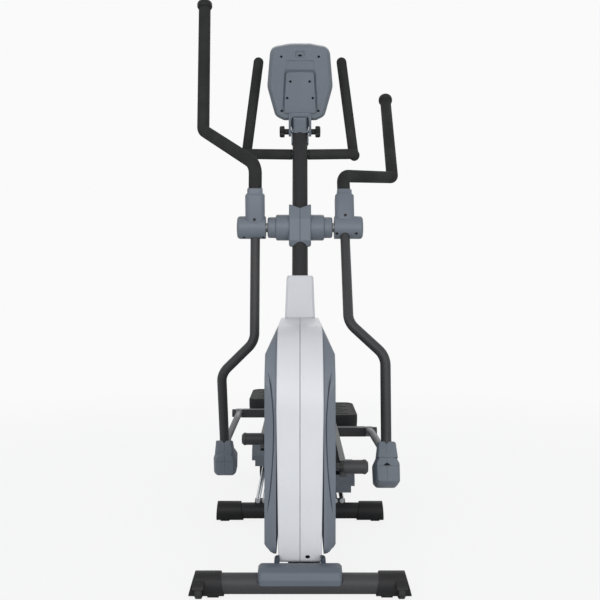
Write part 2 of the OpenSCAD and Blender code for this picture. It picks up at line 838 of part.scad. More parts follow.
// Collar behind the mast's top under a barrel with a bore across it for the two knobs
module console_yoke() color(slate) difference() {
    union() {
        rod(mast_end - lean_dir * 34, mast_end + lean_dir * 3, mast_d / 2 + 4);
        translate(tilt) x_rod(-yoke_half, yoke_half, 17);
        translate([-yoke_half, tilt[1] - 17, mast_end[2] - 22]) cube([2 * yoke_half, 34, 32]);
    }
    rod(mast_end - lean_dir * 60, mast_end + lean_dir * 0.1, mast_d / 2 + run_gap);
    translate(mast_end) rotate([-mast_lean, 0, 0]) translate([-mast_d, -mast_d - 6, -60])
        cube([2 * mast_d, mast_d, 60 - 0.7]);
    translate(tilt) x_rod(-yoke_half - 1, yoke_half + 1, knob_shaft_r + run_gap);
}

// The console's own frame: x right, y to the rider, z along its back
module console_frame() translate(tilt) rotate([console_lean, 0, 0]) children();

shell_back_y = -14;
shell_mid_y = 14;
shell_front_y = 34;
console_low = 38;

// Front-view outline of the console, widest at mid height and narrow at its foot
module console_outline(inset) {
    w = console_w / 2 - inset;
    h = console_h - inset;
    z0 = console_low + inset;
    mid = console_low + (console_h - console_low) * 0.46;
    polygon(rounded(both_sides([[w * 0.55, z0], [w * 0.77, z0 + 15], [w, mid],
        [w * 0.9, h - 10], [w * 0.3, h]]), [8, 22, 60, 26, 60, 60, 26, 60, 22, 8]));
}

module y_plate(y0, y1) translate([0, y1, 0]) rotate([90, 0, 0])
    linear_extrude(y1 - y0) children();

module console_back() color(slate) console_frame() difference() {
    union() {
        y_plate(shell_back_y, shell_mid_y - 0.2) console_outline(0);
        y_plate(shell_back_y - 5, shell_back_y + 1) polygon(rounded(
            both_sides([[52, console_low + 22], [45, console_low + 156]]), [6, 10, 10, 6]));
        // Ears on both sides of the yoke
        for (x = [-ear_half, ear_half - ear_t]) x_plate(x, x + ear_t) {
            circle(16, $fn = seg);
            polygon([[-16, 0], [16, 0], [shell_mid_y - 0.3, console_low + 2],
                [shell_back_y, console_low + 30],
                [shell_back_y - 5, console_low + 30], [shell_back_y - 8, console_low + 6]]);
        }
        // Apron between the ears, in front of the yoke
        translate([1 - ear_half + ear_t - 2, shell_back_y - 7, 18])
            cube([2 * (ear_half - ear_t + 1), 3.4, console_low - 12]);
    }
    y_plate(shell_back_y + shell_wall, shell_mid_y + 1) console_outline(shell_wall);
    x_rod(-ear_half - 1, ear_half + 1, knob_shaft_r + run_gap);
    translate([0, shell_back_y, console_h - 24]) cube([27, 5, 17], center = true);
}

module console_front() color(slate) console_frame() difference() {
    y_plate(shell_mid_y, shell_front_y) console_outline(0);
    y_plate(shell_mid_y - 1, shell_front_y - shell_wall) console_outline(shell_wall);
    translate([-screen_w / 2 - run_gap, shell_mid_y, screen_z - run_gap])
        cube([screen_w + 2 * run_gap, 40, screen_h + 2 * run_gap]);
    for (b = BUTTONS) translate([b[0], 0, b[1]]) rotate([-90, 0, 0])
        cylinder(h = 60, r = button_r + gap, $fn = seg);
}

screen_w = 120;
screen_h = 70;
screen_z = 150;

module console_screen() color(black) console_frame() {
    translate([-screen_w / 2, shell_front_y - shell_wall - 2, screen_z])
        cube([screen_w, shell_wall + 1, screen_h]);
    translate([-screen_w / 2 - 5, shell_front_y - shell_wall - 4.3, screen_z - 5])
        cube([screen_w + 10, 4, screen_h + 10]);
}

button_r = 9;
button_step = 30;
button_z = 108;
flange_y = shell_front_y - shell_wall - 2.3;
BUTTONS = [for (i = [-1, 0, 1]) [i * button_step, button_z]];

module button(i) color(white) console_frame() translate([BUTTONS[i][0], 0, BUTTONS[i][1]])
    rotate([-90, 0, 0]) {
        translate([0, 0, flange_y]) cylinder(h = shell_front_y + 3 - flange_y, r = button_r,
            $fn = seg);
        translate([0, 0, flange_y]) cylinder(h = 2, r = button_r + 2, $fn = seg);
    }

module button_mode() button(1);
module button_up() button(2);
module button_down() button(0);

// Knob with its threaded shaft, which is the console's hinge pin on that side
module knob(side) color(black) translate(tilt) sided(side) {
    x_rod(yoke_half - 14, ear_half + 15, knob_shaft_r);
    difference() {
        x_rod(ear_half + 13.5, ear_half + 31, 19);
        for (a = [0 : 45 : 315]) rotate([a, 0, 0]) translate([0, 21.5, 0])
            x_rod(ear_half + 13, ear_half + 32, 4.5);
    }
    x_rod(ear_half + 0.5, ear_half + 14, 9);
}

module knob_left() knob(LEFT);
module knob_right() knob(RIGHT);

// Drive
crank_in = recess_floor + 4;
crank_out = panel_w / 2 + 1;
crank_t = crank_out - crank_in - 8;
pin_end = 100;

module crank_axle() color(silver) translate([0, crank_y, crank_z]) {
    x_rod(-crank_in - crank_t / 2, crank_in + crank_t / 2, crank_axle_d / 2);
}

module crank_arm(side) color(dark) translate([0, crank_y, crank_z]) sided(side) {
    tip = side == RIGHT ? -crank_r : crank_r;
    difference() {
        union() {
            x_rod(crank_in, crank_in + crank_t + 4, 24);
            translate([0, tip, 0]) x_rod(crank_in, crank_in + crank_t, 19);
            x_plate(crank_in, crank_in + crank_t)
                polygon([[0, -20], [tip, -15], [tip, 15], [0, 20]]);
        }
        x_rod(crank_in - 1, crank_in + crank_t / 2 + 0.1, crank_axle_d / 2 + run_gap / 5);
    }
    translate([0, tip, 0]) x_rod(crank_in + 1, pin_end, crank_pin_d / 2);
}

module crank_arm_left() crank_arm(LEFT);
module crank_arm_right() crank_arm(RIGHT);

module drive_pulley() color(black) translate([0, crank_y, crank_z]) difference() {
    union() {
        x_rod(pulley_x, pulley_x + pulley_w, drive_pulley_r);
        x_rod(bearing_len / 2 + 1, pulley_x + pulley_w + 6, 22);
    }
    x_rod(bearing_len / 2, pulley_x + pulley_w + 7, crank_axle_d / 2 + run_gap / 5);
    for (a = [0 : 60 : 300]) rotate([a, 0, 0])
        translate([0, drive_pulley_r * 0.6, 0])
            x_rod(pulley_x - 1, pulley_x + pulley_w + 1, drive_pulley_r * 0.18);
}

module flywheel() color(silver) translate([0, flywheel_y, flywheel_z]) difference() {
    union() {
        difference() {
            x_rod(flywheel_x - flywheel_w / 2, flywheel_x + flywheel_w / 2, flywheel_r);
            x_rod(flywheel_x + 6, flywheel_x + flywheel_w, flywheel_r - 22);
            x_rod(flywheel_x - flywheel_w, flywheel_x - 6, flywheel_r - 22);
        }
        x_rod(flywheel_x - flywheel_w / 2, flywheel_x + flywheel_w / 2, 22);
        x_rod(flywheel_x, pulley_x + eps, 14);
        x_rod(pulley_x, pulley_x + pulley_w, small_pulley_r);
    }
    x_rod(-spine_w, pulley_x + pulley_w + 1, axle_r + run_gap);
}

// Belt around the two pulleys, drawn from its two arcs and straight runs
belt_t = 2.5;

module belt_loop(extra) hull() {
    translate([crank_y, crank_z]) circle(drive_pulley_r + extra, $fn = 2 * seg);
    translate([flywheel_y, flywheel_z]) circle(small_pulley_r + extra, $fn = seg);
}

module belt() color(black) x_plate(pulley_x + 2, pulley_x + pulley_w - 2) difference() {
    belt_loop(gap + belt_t);
    belt_loop(gap);
}

// Magnet bracket: a curved arm with magnets around the flywheel's rim, hinged on a pin
module magnet_bracket() color(silver) difference() {
    union() {
        translate([flywheel_x, flywheel_y, flywheel_z]) rotate([0, 90, 0]) rotate([0, 0, 30 - magnet_arc])
            rotate_extrude(angle = magnet_arc, $fn = 2 * seg)
                translate([flywheel_r + magnet_gap, -magnet_half]) square([magnet_t, 2 * magnet_half]);
        translate([flywheel_x, magnet_pin_y, magnet_pin_z]) x_rod(-magnet_half, magnet_half, 9);
    }
    translate([flywheel_x, magnet_pin_y, magnet_pin_z])
        x_rod(-magnet_half - 1, magnet_half + 1, magnet_pin_r + run_gap);
}

// Foot beams
beam_in = pin_end + 0.8;
sleeve_in = 106;
sleeve_r = 17;
sleeve_end = 160;
sleeve_y = crank_y - crank_r;
crossbar_end = 241;
crossbar_s = 28;

module foot_beam(side) color(black) translate([0, stride_y(side), 0]) sided(side) {
    // Bearing sleeve beside the crank pin, with its stepped end cap
    translate([0, sleeve_y, crank_z]) {
        x_rod(beam_in, sleeve_in + 1, crank_pin_d / 2 + 4);
        x_rod(sleeve_in, sleeve_end - 5, sleeve_r);
        x_rod(sleeve_end - 5, sleeve_end + 1, sleeve_r + 1);
        translate([sleeve_end + 1, 0, 0]) rotate([0, 90, 0])
            cylinder(h = 6, r1 = sleeve_r + 1, r2 = sleeve_r - 5, $fn = seg);
    }
    // Beam from the sleeve back under the pedal
    x_plate(beam_in, beam_in + beam_w) polygon([
        [sleeve_y + 6, crank_z - 14], [sleeve_y + 6, crank_z + 14],
        [sleeve_y + 60, beam_z + beam_h / 2], [pedal_y + pedal_len - 60, beam_z + beam_h / 2],
        [pedal_y + pedal_len - 60, beam_z - beam_h / 2 + 8], [sleeve_y + 60, beam_z - beam_h / 2]]);
    // Crossbar that carries the link
    translate([beam_in, crossbar_y - crossbar_s / 2, crossbar_z - crossbar_s / 2])
        cube([crossbar_x0 - beam_in, crossbar_s, crossbar_s]);
    translate([0, crossbar_y, crossbar_z]) {
        x_rod(crossbar_x0 - 1, crossbar_end - 4, link_pin_r);
        x_rod(crossbar_x1 + 0.6, crossbar_end, crossbar_s / 2);
    }
    // Post down to the roller carriage
    x_plate(beam_in, beam_in + beam_w) polygon([
        [roller_y - 34, beam_z], [roller_y + 34, beam_z],
        [roller_y + 30, carriage_top - 4], [roller_y - 30, carriage_top - 4]]);
}

module foot_beam_left() foot_beam(LEFT);
module foot_beam_right() foot_beam(RIGHT);

link_pin_r = 10;
link_r = 10;
crossbar_x0 = 205;
crossbar_x1 = 228;

// Roller carriage: a slate cover over one roller that rides on the two rods
carriage_top = 150;
carriage_in = 78;
carriage_out = 166;
roller_z = rail_z + rail_d / 2 + roller_r;
roller_w = rail_pitch + rail_d + 4;
roller_pin_r = 5;

module carriage(side) color(slate) translate([0, stride_y(side), 0]) sided(side) {
    skirt = rail_z + 2;
    half_len = carriage_len / 2;
    shoulder = (carriage_top - skirt) * 0.58;
    difference() {
        intersection() {
            translate([carriage_in, carriage_front, skirt])
                cube([carriage_out - carriage_in, carriage_len, carriage_top - skirt]);
            x_plate(carriage_in - 1, carriage_out + 1) translate([roller_y, skirt])
                polygon([[-half_len, 0], [half_len, 0], [half_len, shoulder],
                    [half_len - 20, carriage_top - skirt + 2], [20 - half_len, carriage_top - skirt + 2],
                    [-half_len, shoulder]]);
        }
        // Hollow over the rods and the roller
        translate([carriage_in + 8, carriage_front - 1, skirt - 1])
            cube([carriage_out - carriage_in - 18, carriage_len + 2, 14]);
        translate([rail_x - roller_w / 2 - 2, carriage_front + 8, skirt - 1])
            cube([roller_w + 4, carriage_len - 16, carriage_top - skirt - 8]);
        // Narrower lower step on the outside
        translate([carriage_out - 11, carriage_front - 1, skirt - 1])
            cube([12, carriage_len + 2, 34]);
        translate([beam_in - gap, roller_y - 34 - gap, carriage_top - 4 - 0.1])
            cube([beam_w + 2 * gap, 68 + 2 * gap, 30]);
    }
    translate([0, roller_y, roller_z])
        x_rod(rail_x - roller_w / 2 - 4, rail_x + roller_w / 2 + 4, roller_pin_r);
}

module carriage_left() carriage(LEFT);
module carriage_right() carriage(RIGHT);

module roller(side) color(black) translate([0, stride_y(side) + roller_y, roller_z])
    sided(side) difference() {
        x_rod(rail_x - roller_w / 2, rail_x + roller_w / 2, roller_r);
        x_rod(rail_x - roller_w, rail_x + roller_w, roller_pin_r + run_gap);
    }

module roller_left() roller(LEFT);
module roller_right() roller(RIGHT);

// Pedals
pedal_y = crossbar_y + pedal_toe_back;
pedal_low = beam_z - 8;
pedal_deck = beam_z + beam_h / 2 + 0.2;
pedal_top = pedal_deck + 19;
rim_h = 3;
pedal_r = 32;
slot_count = 6;
deck_slot = 9;

module pedal(side) color(dark) translate([0, stride_y(side), 0]) sided(side)
    translate([pedal_out - pedal_w / 2, pedal_y + pedal_len / 2, 0]) difference() {
        union() {
            translate([0, 0, pedal_low]) linear_extrude(pedal_top - pedal_low) difference() {
                rounded_rect([pedal_w, pedal_len], pedal_r);
                rounded_rect([pedal_w - 12, pedal_len - 12], pedal_r - 6);
            }
            translate([0, 0, pedal_deck]) linear_extrude(pedal_top - rim_h - pedal_deck)
                rounded_rect([pedal_w - 11, pedal_len - 11], pedal_r - 5.5);
        }
        // Grip slots across the deck
        for (i = [0 : slot_count - 1])
            translate([26 - pedal_w / 2, 46 - pedal_len / 2
                + i * (pedal_len - 92 - deck_slot) / (slot_count - 1), pedal_top - rim_h - 5])
                cube([pedal_w - (i % 2 == 0 ? 54 : 72), deck_slot, 20]);
        // Notch over the beam
        translate([beam_in - gap - pedal_out + pedal_w / 2, -pedal_len, pedal_low - 1])
            cube([beam_w + 2 * gap, 2 * pedal_len, pedal_deck - pedal_low + 1]);
    }

module pedal_left() pedal(LEFT);
module pedal_right() pedal(RIGHT);

// Links from the crossbars to the swing arms' lower ends
module link(side) color(silver) sided(side)
    translate([0, crossbar_y + stride_y(side), crossbar_z]) rotate([link_angle(side), 0, 0]) {
        difference() {
            union() {
                x_rod(crossbar_x0 + 0.6, crossbar_x1, link_pin_r + 6);
                bent_rod([[crossbar_x0 + 11.5, 0, 0], [crossbar_x0 + 14, -70, 26],
                    [arm_low_x - 2, -link_len * 0.62, 16], [arm_low_x, -link_len + 12, 0]], 40, link_r);
            }
            x_rod(crossbar_x0 - 1, crossbar_x1 + 1, link_pin_r + run_gap);
        }
        translate([0, -link_len, 0]) x_rod(arm_low_x - 12, arm_low_x + 12, 13);
    }

module link_left() link(LEFT);
module link_right() link(RIGHT);

// Swing arms, drawn upright about the pivot and then swung
module arm_frame(side) translate(pivot) rotate([arm_angle(side), 0, 0])
    sided(side) children();

// The lower tube leans forward from the pivot to the knee, then back to the lower pivot
knee_top = 348;
knee_low = 450;
knee_tilt = atan2(arm_knee, knee_top);
tube_top = 20;
tube_end = 42;

// Point on the upper straight of the tube's axis at a depth below the pivot
function tube_at(depth) = [arm_x, -depth * tan(knee_tilt), -depth];

module arm_tube(side) color(dark) arm_frame(side) {
    bent_rod([tube_at(tube_top), [arm_x, -arm_knee, -knee_top],
        [arm_low_x, -arm_knee, -knee_low], [arm_low_x, -19, -arm_len + 88],
        [arm_low_x, -10, -arm_len + tube_end]], 60, arm_tube_d / 2);
}

module arm_tube_left() arm_tube(LEFT);
module arm_tube_right() arm_tube(RIGHT);

tee_in = 107.5;
tee_out = 197.5;
tee_r = 36;
sleeve_w = 60;
sleeve_tilt = 3;
handle_bends = [58, 27];
handle_path = [[arm_x, -12, 61], [arm_x, 24, 199], [handle_x - 9, 245, 317],
    [handle_x, 424, 767]];

module arm_housing(side) color(slate) arm_frame(side) difference() {
    union() {
        x_rod(tee_in, tee_out - 6, tee_r);
        translate([tee_out - 6 - eps, 0, 0]) rotate([0, 90, 0])
            cylinder(h = 6, r1 = tee_r, r2 = tee_r - 6, $fn = seg);
        translate([arm_x, 0, 0]) rotate([sleeve_tilt, 0, 0]) {
            translate([0, 0, -28]) linear_extrude(134) rounded_rect([sleeve_w, 56], 14);
            translate([0, 0, 105]) linear_extrude(20) rounded_rect([sleeve_w - 8, 50], 14);
        }
    }
    x_rod(tee_in - 1, tee_out + 1, pivot_d / 2 + run_gap);
    rod(tube_at(tube_top - 0.1), tube_at(60), arm_tube_d / 2 + run_gap / 5);
    rod(handle_path[0] - [0, 0, eps], handle_path[0] + unit(handle_path[1] - handle_path[0]) * 90,
        handle_d / 2 + run_gap / 5);
}

module arm_housing_left() arm_housing(LEFT);
module arm_housing_right() arm_housing(RIGHT);

cap_flare = 6;

// Foam-covered handle with a flared end cap
module handle(side) color(foam) arm_frame(side) {
    tip = unit(handle_path[3] - handle_path[2]);
    bent_rod(handle_path, handle_bends, handle_d / 2);
    translate(handle_path[3] - tip * 16) rotate([0, acos(tip[2]), atan2(tip[1], tip[0])]) {
        cylinder(h = 10, r1 = handle_d / 2 - 1, r2 = handle_d / 2 + cap_flare, $fn = seg);
        translate([0, 0, 10 - eps]) cylinder(h = 11, r = handle_d / 2 + cap_flare, $fn = seg);
        translate([0, 0, 21 - 2 * eps])
            cylinder(h = 5, r1 = handle_d / 2 + cap_flare, r2 = handle_d / 2, $fn = seg);
    }
}

module handle_left() handle(LEFT);
module handle_right() handle(RIGHT);

// Slate cover around an arm's lower pivot, hollow and open to the rear for the link
cover_x = 242.5;
cover_w = 74;
cover_h = 82;
cover_d = 68;

module foot_cover(side) color(slate) arm_frame(side) difference() {
    union() {
        translate([cover_x, cover_d / 2, -arm_len]) rotate([90, 0, 0]) linear_extrude(cover_d)
            polygon(rounded(both_sides([[cover_w / 2 - 11, -cover_h / 2],
                [cover_w / 2 - 1, 10 - cover_h / 2], [cover_w / 2, cover_h / 2 - 22],
                [cover_w / 2 - 8, cover_h / 2 - 6], [cover_w / 2 - 15, cover_h / 2]]),
                [7, 9, 16, 6, 5, 5, 6, 16, 9, 7]));
        translate([arm_low_x, -8, -arm_len + cover_h / 2 - 2]) linear_extrude(40)
            rounded_rect([52, 46], 9);
    }
    rod([arm_low_x, -10, -arm_len + tube_end - 0.1], [arm_low_x, -19, -arm_len + 88],
        arm_tube_d / 2 + run_gap / 5);
    rod([arm_low_x, -19, -arm_len + 88], [arm_low_x, -40, -arm_len + 160], arm_tube_d / 2 + 0.6);
    // Pocket for the link's front eye, open to the rear, and the slot for the link above it
    translate([arm_low_x - 17, -cover_d / 2 + 6, -arm_len - cover_h / 2 + 5])
        cube([34, cover_d, cover_h - 7]);
    translate([arm_low_x - 14, 5, -arm_len]) cube([28, cover_d, 64]);
}

module foot_cover_left() foot_cover(LEFT);
module foot_cover_right() foot_cover(RIGHT);

front_stabilizer();
rear_stabilizer();
front_cap_left();
front_cap_right();
rear_caps();
transport_wheel_left();
transport_wheel_right();
saddle_cover();
main_frame();
rail_foot();
rails_left();
rails_right();
shroud_left();
shroud_right();
side_panel_left();
side_panel_right();
neck_collar();
power_inlet();
mast();
pivot_axle();
hub_cover_left();
hub_cover_right();
pulse_bar();
pulse_grip_left();
pulse_grip_right();
console_yoke();
console_back();
console_front();
console_screen();
button_mode();
button_up();
button_down();
knob_left();
knob_right();
crank_axle();
crank_arm_left();
crank_arm_right();
drive_pulley();
flywheel();
belt();
magnet_bracket();
foot_beam_left();
foot_beam_right();
carriage_left();
carriage_right();
roller_left();
roller_right();
pedal_left();
pedal_right();
link_left();
link_right();
arm_tube_left();
arm_tube_right();
arm_housing_left();
arm_housing_right();
handle_left();
handle_right();
foot_cover_left();
foot_cover_right();
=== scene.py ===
"""Looks of a front-drive elliptical trainer: shells, covers, grips and finishes around its frame."""
import json

import bpy
import numpy as np
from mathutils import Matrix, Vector


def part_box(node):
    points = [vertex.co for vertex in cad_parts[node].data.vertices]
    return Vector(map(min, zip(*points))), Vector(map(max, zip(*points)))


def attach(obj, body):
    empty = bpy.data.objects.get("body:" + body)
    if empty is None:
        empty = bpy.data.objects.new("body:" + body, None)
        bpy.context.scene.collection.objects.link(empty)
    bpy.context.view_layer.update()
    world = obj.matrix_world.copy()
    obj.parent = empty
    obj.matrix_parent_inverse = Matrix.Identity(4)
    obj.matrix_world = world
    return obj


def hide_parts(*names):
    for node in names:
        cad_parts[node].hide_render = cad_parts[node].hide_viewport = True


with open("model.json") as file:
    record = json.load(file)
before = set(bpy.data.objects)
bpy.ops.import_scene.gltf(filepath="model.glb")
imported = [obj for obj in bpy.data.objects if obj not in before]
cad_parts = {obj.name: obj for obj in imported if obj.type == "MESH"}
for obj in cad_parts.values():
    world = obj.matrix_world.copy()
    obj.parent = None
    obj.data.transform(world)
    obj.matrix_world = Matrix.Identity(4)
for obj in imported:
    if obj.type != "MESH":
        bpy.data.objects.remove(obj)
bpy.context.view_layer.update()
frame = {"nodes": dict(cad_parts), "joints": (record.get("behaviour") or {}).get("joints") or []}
scene = bpy.context.scene

MM = 0.001
SIDES = {"right": 1, "left": -1}
JOINTS = {j["name"]: j for j in frame["joints"]}


def joint_at(name):
    """A joint's place in millimetres."""
    return np.array(JOINTS[name]["pos_m"], float) / MM


def box_mm(node):
    """Lowest and highest corner of a frame node in millimetres."""
    low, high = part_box(node)
    return np.array(low) / MM, np.array(high) / MM


# ---------------------------------------------------------------- camera

FRONT = box_mm("front_stabilizer")[0][1] + 23.5
camera_data = bpy.data.cameras.new("camera")
camera = bpy.data.objects.new("camera", camera_data)
scene.collection.objects.link(camera)
scene.camera = camera
camera.location = (0.0, (FRONT - 1950.0) * MM, 0.731)
camera.rotation_euler = (np.pi / 2, 0.0, 0.0)
camera_data.lens = 51.0
camera_data.sensor_width = 36.0
camera_data.shift_y = -0.0383
camera_data.clip_start = 0.05

# ---------------------------------------------------------------- shader nodes


class Wire:
    """A node's output. Arithmetic on a number adds Math nodes, on a vector Vector Math nodes."""

    def __init__(self, tree, socket):
        self.tree, self.socket = tree, socket

    def _join(self, operation, first, second):
        vector = any(isinstance(x, Wire) and x.socket.type != "VALUE" for x in (first, second))
        node = self.tree.nodes.new("ShaderNodeVectorMath" if vector else "ShaderNodeMath")
        node.operation = operation
        for place, value in zip(node.inputs, (first, second)):
            if isinstance(value, Wire):
                self.tree.links.new(value.socket, place)
            elif vector and np.ndim(value) == 0:
                place.default_value = (value,) * 3
            else:
                place.default_value = value
        return Wire(self.tree, node.outputs[0])

    def __add__(self, other):
        return self._join("ADD", self, other)

    def __radd__(self, other):
        return self._join("ADD", other, self)

    def __sub__(self, other):
        return self._join("SUBTRACT", self, other)

    def __rsub__(self, other):
        return self._join("SUBTRACT", other, self)

    def __mul__(self, other):
        return self._join("MULTIPLY", self, other)

    def __rmul__(self, other):
        return self._join("MULTIPLY", other, self)

    def __truediv__(self, other):
        return self._join("DIVIDE", self, other)

    def __pow__(self, other):
        return self._join("POWER", self, other)


def linear(colour):
    """A screen colour (0 to 255 per channel) as the light that the shader works with."""
    c = np.array(colour, float) / 255
    return tuple(np.where(c < 0.04045, c / 12.92, ((c + 0.055) / 1.055) ** 2.4)) + (1.0,)


class Finish:
    """A material and its node tree; add() is the one way to make a node."""

    def __init__(self, name):
        self.material = bpy.data.materials.new(name)
        self.material.use_nodes = True
        self.tree = self.material.node_tree
        self.tree.nodes.clear()
        self.end = self.tree.nodes.new("ShaderNodeOutputMaterial")
        self.at = self.add("ShaderNodeTexCoord", "Object")

    def add(self, kind, out=0, settings=None, stops=None, **inputs):
        """A node with its settings, then its inputs (underscores stand for spaces)."""
        node = self.tree.nodes.new(kind)
        for key, value in (settings or {}).items():
            setattr(node, key, value)
        if stops:
            ramp = node.color_ramp.elements
            while len(ramp) < len(stops):
                ramp.new(0.5)
            for stop, (place, colour) in zip(ramp, stops):
                stop.position, stop.color = place, colour
        for key, value in inputs.items():
            name = key.replace("_", " ")
            place = node.inputs[int(name[2:])] if name.startswith("n ") else node.inputs[name]
            if isinstance(value, Wire):
                self.tree.links.new(value.socket, place)
            else:
                place.default_value = value
        return Wire(self.tree, node.outputs[out])

    def noise(self, scale, detail=3.0, stretch=None, rough=0.5, kind="ShaderNodeTexNoise"):
        """Noise in the piece's own coordinates, drawn out along an axis where stretch says."""
        at = self.at if stretch is None else self.add(
            "ShaderNodeMapping", settings={"vector_type": "POINT"}, Vector=self.at, Scale=stretch)
        return self.add(kind, Vector=at, Scale=scale, Detail=detail, Roughness=rough)

    def step(self, value, low, high):
        """0 below low, 1 above high, and a straight ramp between them."""
        return self.add("ShaderNodeMapRange", settings={"clamp": True}, Value=value,
                        From_Min=low, From_Max=high)

    def mix(self, factor, first, second):
        """Colours mixed by a factor."""
        node = self.tree.nodes.new("ShaderNodeMix")
        node.data_type = "RGBA"
        for place, value in zip((node.inputs[0], node.inputs[6], node.inputs[7]),
                                (factor, first, second)):
            if isinstance(value, Wire):
                self.tree.links.new(value.socket, place)
            else:
                place.default_value = value
        return Wire(self.tree, node.outputs[2])

    def bump(self, height, depth, strength=1.0, below=None):
        """A bump of that depth in metres, on top of another where below is given."""
        more = {} if below is None else {"Normal": below}
        return self.add("ShaderNodeBump", Height=height, Distance=depth, Strength=strength, **more)

    def shade(self, **inputs):
        """The surface shader from its sockets' values and links."""
        surface = self.add("ShaderNodeBsdfPrincipled", **inputs)
        self.tree.links.new(surface.socket, self.end.inputs["Surface"])
        return self.material


def moulded_plastic(name, colour, rough=0.45, grain=2600.0, depth=0.00006, shade=0.9, spread=0.04,
                    coat=0.0, shine=0.4, dust=0.03):
    """Moulded plastic: eroded-mould grain, slow colour drift, dull handling marks and dust."""
    f = Finish(name)
    fine = f.noise(grain, 2.0)
    drift = f.step(f.noise(7.0, 3.0), 0.3, 0.7)
    scuffs = f.step(f.noise(55.0, 6.0, (1.0, 1.0, 0.35), 0.7), 0.62, 0.78)
    base = np.array(linear(colour))
    darker = tuple(base[:3] * shade) + (1.0,)
    dusty = tuple(base[:3] * 0.9 + dust) + (1.0,)
    tone = f.mix(scuffs * 0.35, f.mix(drift, darker, tuple(base)), dusty)
    return f.shade(Base_Color=tone, Roughness=(rough - spread) + spread * 2 * drift + 0.1 * scuffs,
                   Normal=f.bump(fine, depth, 0.7), Coat_Weight=coat, Coat_Roughness=0.3,
                   Specular_IOR_Level=shine)


def satin_paint(name, colour, rough=0.38, shine=0.3):
    """Stoved paint on steel: orange peel, faint flecks, rubbed marks that run round the tube."""
    f = Finish(name)
    peel = f.noise(420.0, 2.0)
    flecks = f.noise(5200.0, 1.0)
    rubbed = f.step(f.noise(26.0, 7.0, (0.5, 1.0, 1.0), 0.72), 0.6, 0.8)
    base = np.array(linear(colour))
    lighter = tuple(base[:3] * 1.18 + 0.004) + (1.0,)
    bright = tuple(base[:3] * 1.1 + 0.012) + (1.0,)
    tone = f.mix(rubbed * 0.4, f.mix(f.step(flecks, 0.45, 0.7) * 0.8, tuple(base), lighter), bright)
    height = f.bump(flecks, 0.00002, 0.4, f.bump(peel, 0.00012, 0.45))
    return f.shade(Base_Color=tone, Roughness=rough + 0.12 * rubbed + 0.05 * peel,
                   Normal=height, Specular_IOR_Level=shine)


def drawn_metal(name, colour, rough, stretch, streak=0.12, grime=0.2, metallic=1.0):
    """Bare or plated metal: fine draw lines along one axis, dulled patches, grime specks."""
    f = Finish(name)
    lines = f.noise(900.0, 3.0, stretch)
    patch = f.step(f.noise(16.0, 5.0, None, 0.65), 0.45, 0.75)
    specks = f.step(f.noise(340.0, 3.0), 0.68, 0.76)
    base = np.array(linear(colour))
    dull = tuple(base[:3] * 0.8) + (1.0,)
    dirty = tuple(base[:3] * 0.35) + (1.0,)
    tone = f.mix(specks * grime, f.mix(patch * 0.5, tuple(base), dull), dirty)
    return f.shade(Base_Color=tone, Metallic=metallic, Roughness=rough + streak * lines + 0.08 * patch,
                   Normal=f.bump(lines, 0.00004, 0.5))


def closed_foam(name, colour):
    """Closed-cell foam: crowded small cells over a soft skin, polished and greyed where held."""
    f = Finish(name)
    cells = f.add("ShaderNodeTexVoronoi", Vector=f.at, Scale=900.0)
    soft = f.noise(120.0, 4.0)
    held = f.step(f.noise(12.0, 4.0), 0.42, 0.68)
    base = np.array(linear(colour))
    worn = tuple(base[:3] * 1.3 + 0.004) + (1.0,)
    pit = tuple(base[:3] * 0.6) + (1.0,)
    tone = f.mix(f.step(cells, 0.55, 0.9) * 0.6, f.mix(held * 0.6, tuple(base), worn), pit)
    height = f.bump(cells, 0.00022, 0.55, f.bump(soft, 0.0005, 0.35))
    return f.shade(Base_Color=tone, Roughness=0.9 - 0.1 * held, Normal=height,
                   Specular_IOR_Level=0.12)


def wheel_rubber(name, colour):
    """Hard rubber: blooming grey haze, ground-in dust and small nicks."""
    f = Finish(name)
    bloom = f.step(f.noise(40.0, 5.0), 0.4, 0.75)
    nicks = f.step(f.noise(700.0, 4.0), 0.63, 0.7)
    base = np.array(linear(colour))
    hazy = tuple(base[:3] + 0.03) + (1.0,)
    tone = f.mix(bloom * 0.7, tuple(base), hazy)
    height = f.bump(f.noise(1800.0), 0.0001, 0.4, f.bump(1 - nicks, 0.0003, 0.5))
    return f.shade(Base_Color=tone, Roughness=0.7 + 0.15 * bloom, Normal=height)


def tread_plastic(name, colour):
    """Pedal plastic: pebbled deck, patches of soles' dust, and faces turned upwards painted darker as
    shade, most where shoe scuffs run along the stride.
    """
    f = Finish(name)
    pebble = f.add("ShaderNodeTexVoronoi", Vector=f.at, Scale=520.0)
    scuffs = f.step(f.noise(60.0, 7.0, (1.0, 0.22, 1.0), 0.7), 0.55, 0.75)
    drift = f.noise(9.0, 3.0)
    # Faces turned upwards get a darker tone: painted shade, stronger on the shoe scuffs, which are also
    # less rough
    up = f.add("ShaderNodeSeparateXYZ", 2, Vector=f.add("ShaderNodeNewGeometry", "Normal"))
    worn = f.step(up, 0.75, 0.95) * (0.35 + 0.65 * scuffs)
    base = np.array(linear(colour))
    top_shade = tuple(base[:3] * 0.8 + 0.002) + (1.0,)
    tone = f.mix(worn, f.mix(drift, tuple(base * (0.85, 0.85, 0.85, 1))[:4], tuple(base)), top_shade)
    return f.shade(Base_Color=tone, Roughness=0.7 - 0.08 * worn, Specular_IOR_Level=0.1,
                   Normal=f.bump(pebble, 0.00035, 0.6))


